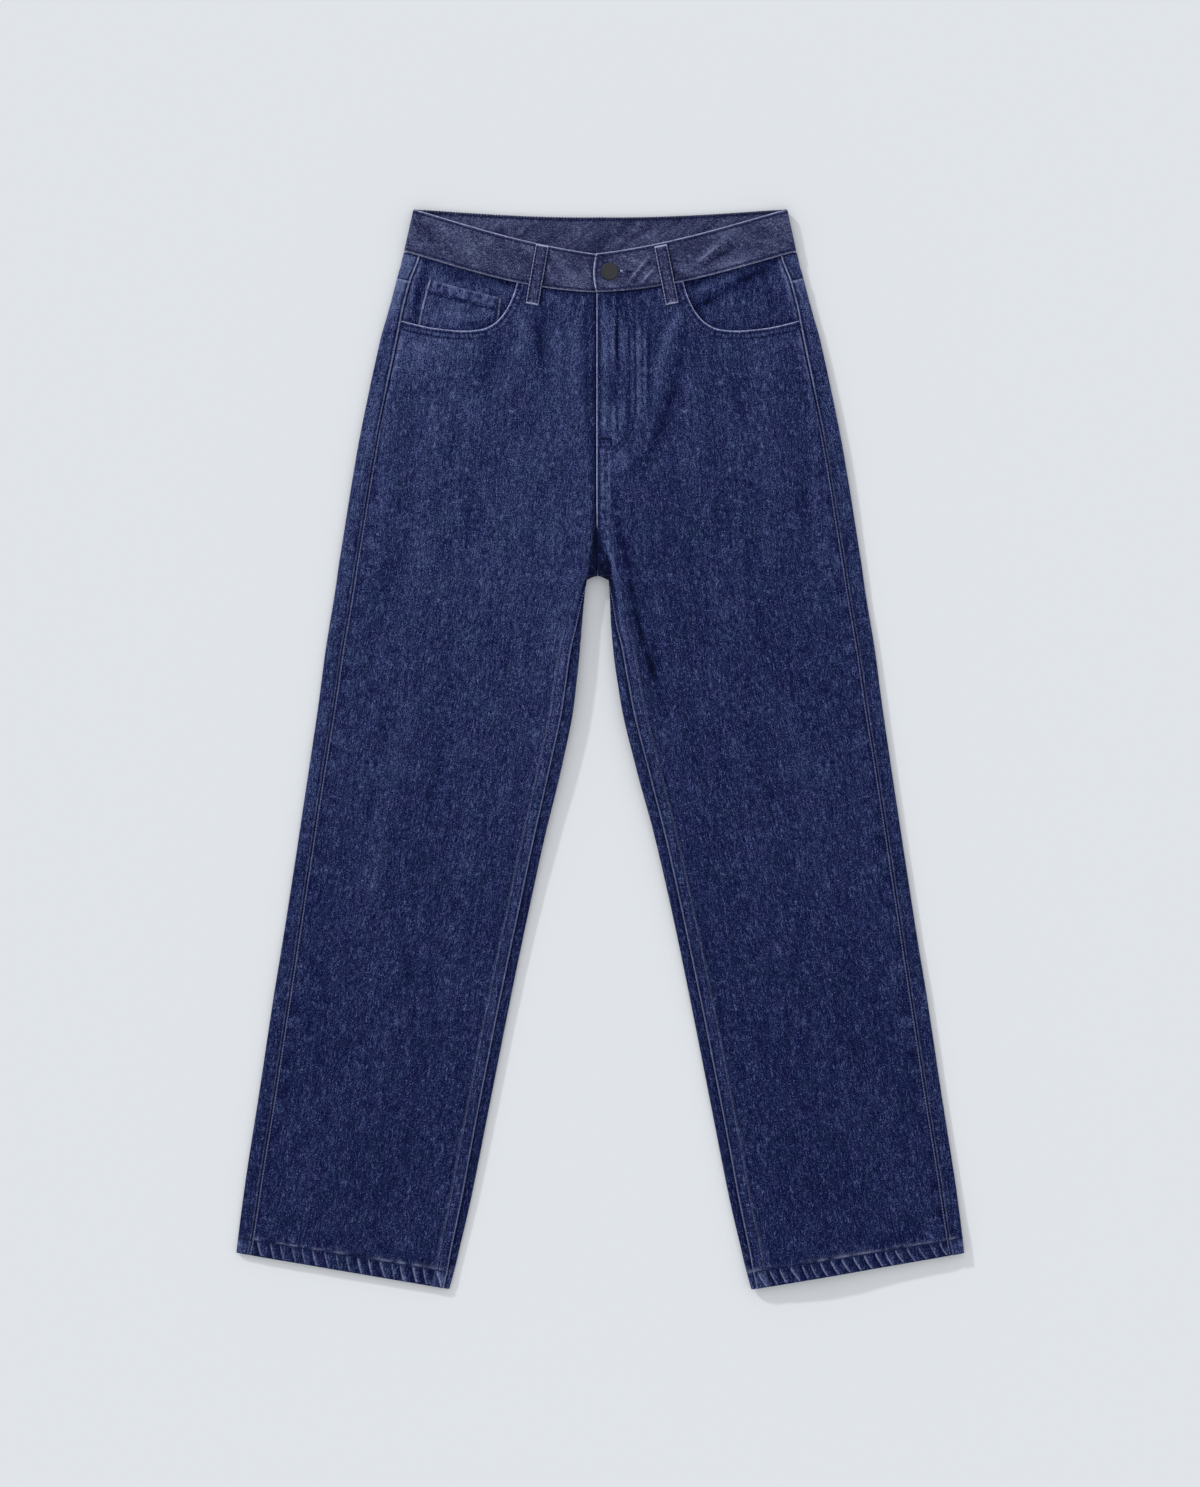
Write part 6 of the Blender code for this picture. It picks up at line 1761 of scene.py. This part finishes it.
def tack(start, end, half_width, place):
    """A bar tack as short lines across the line from start to end; place gives points and normals."""
    start, end = np.array(start), np.array(end)
    length = np.linalg.norm(end - start)
    run = (end - start) / length
    turn = np.array([-run[1], run[0]]) * half_width
    lines = []
    for share in np.arange(0.5, length / TACK_STEP) * TACK_STEP / length:
        middle = start + (end - start) * share
        lines.append(place(np.array([middle - turn, middle + turn])))
    return lines


def seam_line(grid, distance, first_along, last_along, from_end=False, count=240):
    """Points along the piece at a distance from one of its seams."""
    rows = grid.row_of(np.linspace(first_along, last_along, count))
    distance = np.broadcast_to(distance, rows.shape)
    return grid.at(rows, distance, from_end)


# ---- Make everything

# From a seam to the stitching beside it.
INSEAM_STITCH, OUTSEAM_STITCH, BACK_STITCH, STRIP_STITCH = 0.0012, 0.0016, 0.0014, STRIP - 0.0022
STITCH_END = 0.002
WAISTBAND_STITCH, LAP_STITCH = 0.0032, 0.0030
FRONT_TOP_Y = 0.455  # a loop's foot stands on the front below here

fronts = {}
light_lines, dark_lines, tack_lines = [], [], []
for label, side in SIDES:
    front = front_grid(side)
    dress_front(front, side)
    fronts[label] = front
    piece = cloth_piece(f"front_{label}_cloth", front, front.keep)
    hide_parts(f"front_{label}")
    dark_lines += opening_strip(f"opening_hem_{label}", side, front)
    for part, first, last in (("yoke", "waist seam", "yoke seam"), ("back", "yoke seam", "hem edge")):
        back = back_grid(side, ROW[first], ROW[last], part == "yoke")
        dress_back(back, side, part == "yoke")
        made = cloth_piece(f"{part}_{label}_cloth", back)
        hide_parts(f"{part}_{label}")
    facing(f"facing_{label}_cloth", side)
    back_pocket(f"back_pocket_{label}_cloth", side)
    total = front.along[-1, 0]
    strip_top = float(np.interp(ROW["leg 2"], front.rows[:, 0], front.along[:, 0]))
    stitched_from, stitched_to = (float(np.interp(-SINGLE_STITCH_Y, -grid.y[:, 0], grid.along[:, 0]))
                                  for grid in (front, back))
    light_lines.append(seam_line(front, INSEAM_STITCH, strip_top, total - STITCH_END, True))
    dark_lines.append(seam_line(front, STRIP_STITCH, strip_top + 0.03, total - HEM_DEPTH, True))
    light_lines.append(seam_line(front, OUTSEAM_STITCH, stitched_from, total - STITCH_END))
    # The hem's stitching: how many points its line has, and where it starts and ends.
    front_hem, back_hem = (160, 0.001, front.start[-1, -1] - 0.001), (30, 0.0005, 0.016)
    for grid, (count, first, last) in ((front, front_hem), (back, back_hem)):
        hem_row = grid.row_of(grid.along[-1, 0] - HEM_DEPTH)
        dark_lines.append(grid.at(np.full(count, hem_row), np.linspace(first, last, count)))
    light_lines.append(seam_line(back, BACK_STITCH, 0.001, stitched_to))

dark_lines += coin_pocket()

band = band_grid()
dress_band(band)
band_inside = band.points - band.normals * BAND_WALL
band_piece = shell("waistband_cloth", band.outside(), band_inside, BAND_DENIM,
                   grain_of(band.along, BAND_GRAIN * band.start), band.tone, band.edge)
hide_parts("waistband")
width = float(band.start[:, -1].max())
for place in (WAISTBAND_STITCH, band.along[-1, 0] - WAISTBAND_STITCH):
    rows = np.full(700, band.row_of(place))
    dark_lines.append(band.at(rows, np.linspace(STITCH_END, width - STITCH_END, 700)))
lap_rows = band.row_of(np.linspace(LAP_STITCH, band.along[-1, 0] - LAP_STITCH, 40))
dark_lines.append(band.at(lap_rows, np.full(40, LAP_STITCH), True))


def front_height(grid):
    """The height of a front's outside under a belt loop, as a function of its middle line."""
    return lambda line: surface_of(grid, line[:, 0], np.minimum(line[:, 1], FRONT_TOP_Y))[0][:, 2]


for name, ends in FRONT_LOOPS.items():
    dark_lines += belt_loop(name, ends, front_height(fronts["right" if ends[0][0] < 0 else "left"]))
for name, ends in BACK_LOOPS.items():
    belt_loop(name, ends)

for row_points in J_STITCH:
    at = np.linspace(0, len(row_points) - 1, 120)
    x, y = (smooth_column(values)(at) for values in np.array(row_points).T)
    dark_lines.append(surface_of(fronts["left"], x, y))


def on_front(label, lift=0.0):
    """Where a bar tack lies on a front, or on the hem strip above it."""
    def place(points):
        surface, normals = surface_of(fronts[label], points[:, 0], points[:, 1])
        return surface + np.array([0, 0, lift]), normals
    return place


def on_band(points):
    """Where stitches lie on the waistband's lap."""
    row = row_at(points[:, 0], points[:, 1], True)
    index = np.interp(row, band.rows[:, 0], np.arange(len(band.rows)))
    return band.at(index, points[:, 0] - LAP_X, True)


# Bar tacks at the fly, and at the two ends of each pocket mouth, given for the wearer's left.
FLY_TACKS = (((-0.0022, 0.3041), (0.0110, 0.3041)), ((0.0104, 0.3040), (0.0104, 0.2960)))
MOUTH_TACKS = (((0.1935, 0.4125), (0.1935, 0.4185)), ((0.0790, 0.4560), (0.0790, 0.4500)))
MOUTH_HEM_HEIGHT = 0.0004
for start, end in FLY_TACKS:
    tack_lines += tack(start, end, TACK_HALF, on_front("left"))
for label, side in SIDES:
    for (x, start), (_, end) in MOUTH_TACKS:
        tack_lines += tack((side * x, start), (side * x, end), TACK_HALF, on_front(label, MOUTH_HEM_HEIGHT))
# The buttonhole: two rows of thread beside its slit, and the bright knot at its round end.
SLIT, SLIT_ROWS = ((0.0215, 0.4682), (0.0330, 0.4668)), (-0.0008, 0.0008)
for offset in SLIT_ROWS:
    tack_lines += tack(*(np.array(point) + (0, offset) for point in SLIT), SLIT_TACK_HALF, on_band)
knot_lines = tack((0.0195, 0.4686), (0.0222, 0.4680), KNOT_HALF, on_band)

sew("stitching_light", light_lines, THREAD, 0.0029, 0.0018, 0.00100)
sew("stitching_dark", dark_lines, DARK_THREAD)
sew("bar_tacks", tack_lines, DARK_THREAD, 0.0030, 0.0024, 0.00090, 0.00015)
sew("buttonhole_knot", knot_lines, KNOT_THREAD, 0.0022, 0.0018, 0.00080, 0.0004)
# The overlocked edge inside the back of the waistband.
LOCK_REACH, LOCK_PITCH = 0.172, 0.0028
LOCK_DOWN, LOCK_UP, LOCK_LEAN = 0.0034, 0.0006, 0.0006
LOCK_Z = BAND_LIFT + BAND_WALL
lock_lines = []
for x in np.arange(-LOCK_REACH, LOCK_REACH, LOCK_PITCH):
    y = float(section_y(0, x, False))
    ends = np.array([(x, y - LOCK_DOWN, LOCK_Z), (x + LOCK_LEAN, y + LOCK_UP, LOCK_Z)])
    lock_lines.append((ends, np.array([(0, 0, 1), (0, 0, 1)])))
sew("overlock", lock_lines, DARK_THREAD, 0.0040, 0.0038, 0.00110, 0.0001)

for node, look in (("button", BUTTON_LOOK), ("fly_zip", TAPE_LOOK)):
    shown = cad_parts[node]
    shown.data.materials.clear()
    shown.data.materials.append(look)

# ---- What each piece is cut from

# The cut of each piece in metres: width, length, and its area in square metres.
CUTS = {
    "front": (0.330, 1.000, 0.2035),
    "back": (0.360, 0.960, 0.2475),
    "yoke": (0.215, 0.060, 0.0097),
    "facing": (0.140, 0.085, 0.0104),
    "coin_pocket": (0.084, 0.056, 0.0045),
    "back_pocket": (0.140, 0.142, 0.0177),
    "waistband": (0.825, 0.042, 0.0343),
    "belt_loop": (0.0125, 0.055, 0.00067),
}


def declare(name, kind):
    """Looks up the cut of a sheet of cloth by its kind, and does nothing more with it."""
    width, length, area = CUTS[kind]


# ---- Floor, light and camera

FLOOR_HALF, FLOOR_Z = 6, -0.0002
floor_mesh = bpy.data.meshes.new("floor")
floor_corners = [(x * FLOOR_HALF, y * FLOOR_HALF, FLOOR_Z) for x, y in ((-1, -1), (1, -1), (1, 1), (-1, 1))]
floor_mesh.from_pydata(floor_corners, [], [(0, 1, 2, 3)])
floor = bpy.data.objects.new("floor", floor_mesh)
bpy.context.scene.collection.objects.link(floor)
floor_look, _, floor_shader = new_material("floor_paper")
set_inputs(floor_shader, {
    "Base Color": (0.807, 0.842, 0.878, 1), "Roughness": 0.95, "Specular IOR Level": 0.0})
floor_mesh.materials.append(floor_look)

for label, _ in SIDES:
    declare(f"back_{label}", "back")
    declare(f"yoke_{label}", "yoke")
    declare(f"back_pocket_{label}", "back_pocket")
    declare(f"facing_{label}", "facing")
    declare(f"front_{label}", "front")
declare("coin_pocket", "coin_pocket")
declare("waistband", "waistband")
for name in FRONT_LOOPS:
    declare(name, "belt_loop")
for name in BACK_LOOPS:
    declare(name, "belt_loop")

world = bpy.data.worlds.new("studio")
world.use_nodes = True
set_inputs(world.node_tree.nodes["Background"], {"Color": (1, 1, 1, 1), "Strength": 0.755})
bpy.context.scene.world = world

SUN_WAY = Vector((1.80, -1.90, -1.00))
key = bpy.data.objects.new("key", bpy.data.lights.new("key", "SUN"))
key.data.energy = 1.50
key.data.angle = math.radians(3)
key.rotation_euler = SUN_WAY.to_track_quat("-Z", "Y").to_euler()
bpy.context.scene.collection.objects.link(key)

VIEW_HEIGHT = 1.4573  # what the camera sees from top to bottom, at the cloth's mean height
VIEW_MIDDLE, CLOTH_MIDDLE_Z = (-0.000245, 0.005635), 0.006
LENS, SENSOR = 85, 36
camera = bpy.data.objects.new("camera", bpy.data.cameras.new("camera"))
camera.data.lens = LENS
camera.data.sensor_width = SENSOR
camera.data.clip_end = 50
camera.location = (*VIEW_MIDDLE, CLOTH_MIDDLE_Z + VIEW_HEIGHT * LENS / SENSOR)
bpy.context.scene.collection.objects.link(camera)
bpy.context.scene.camera = camera
bpy.context.scene.view_settings.view_transform = "Standard"
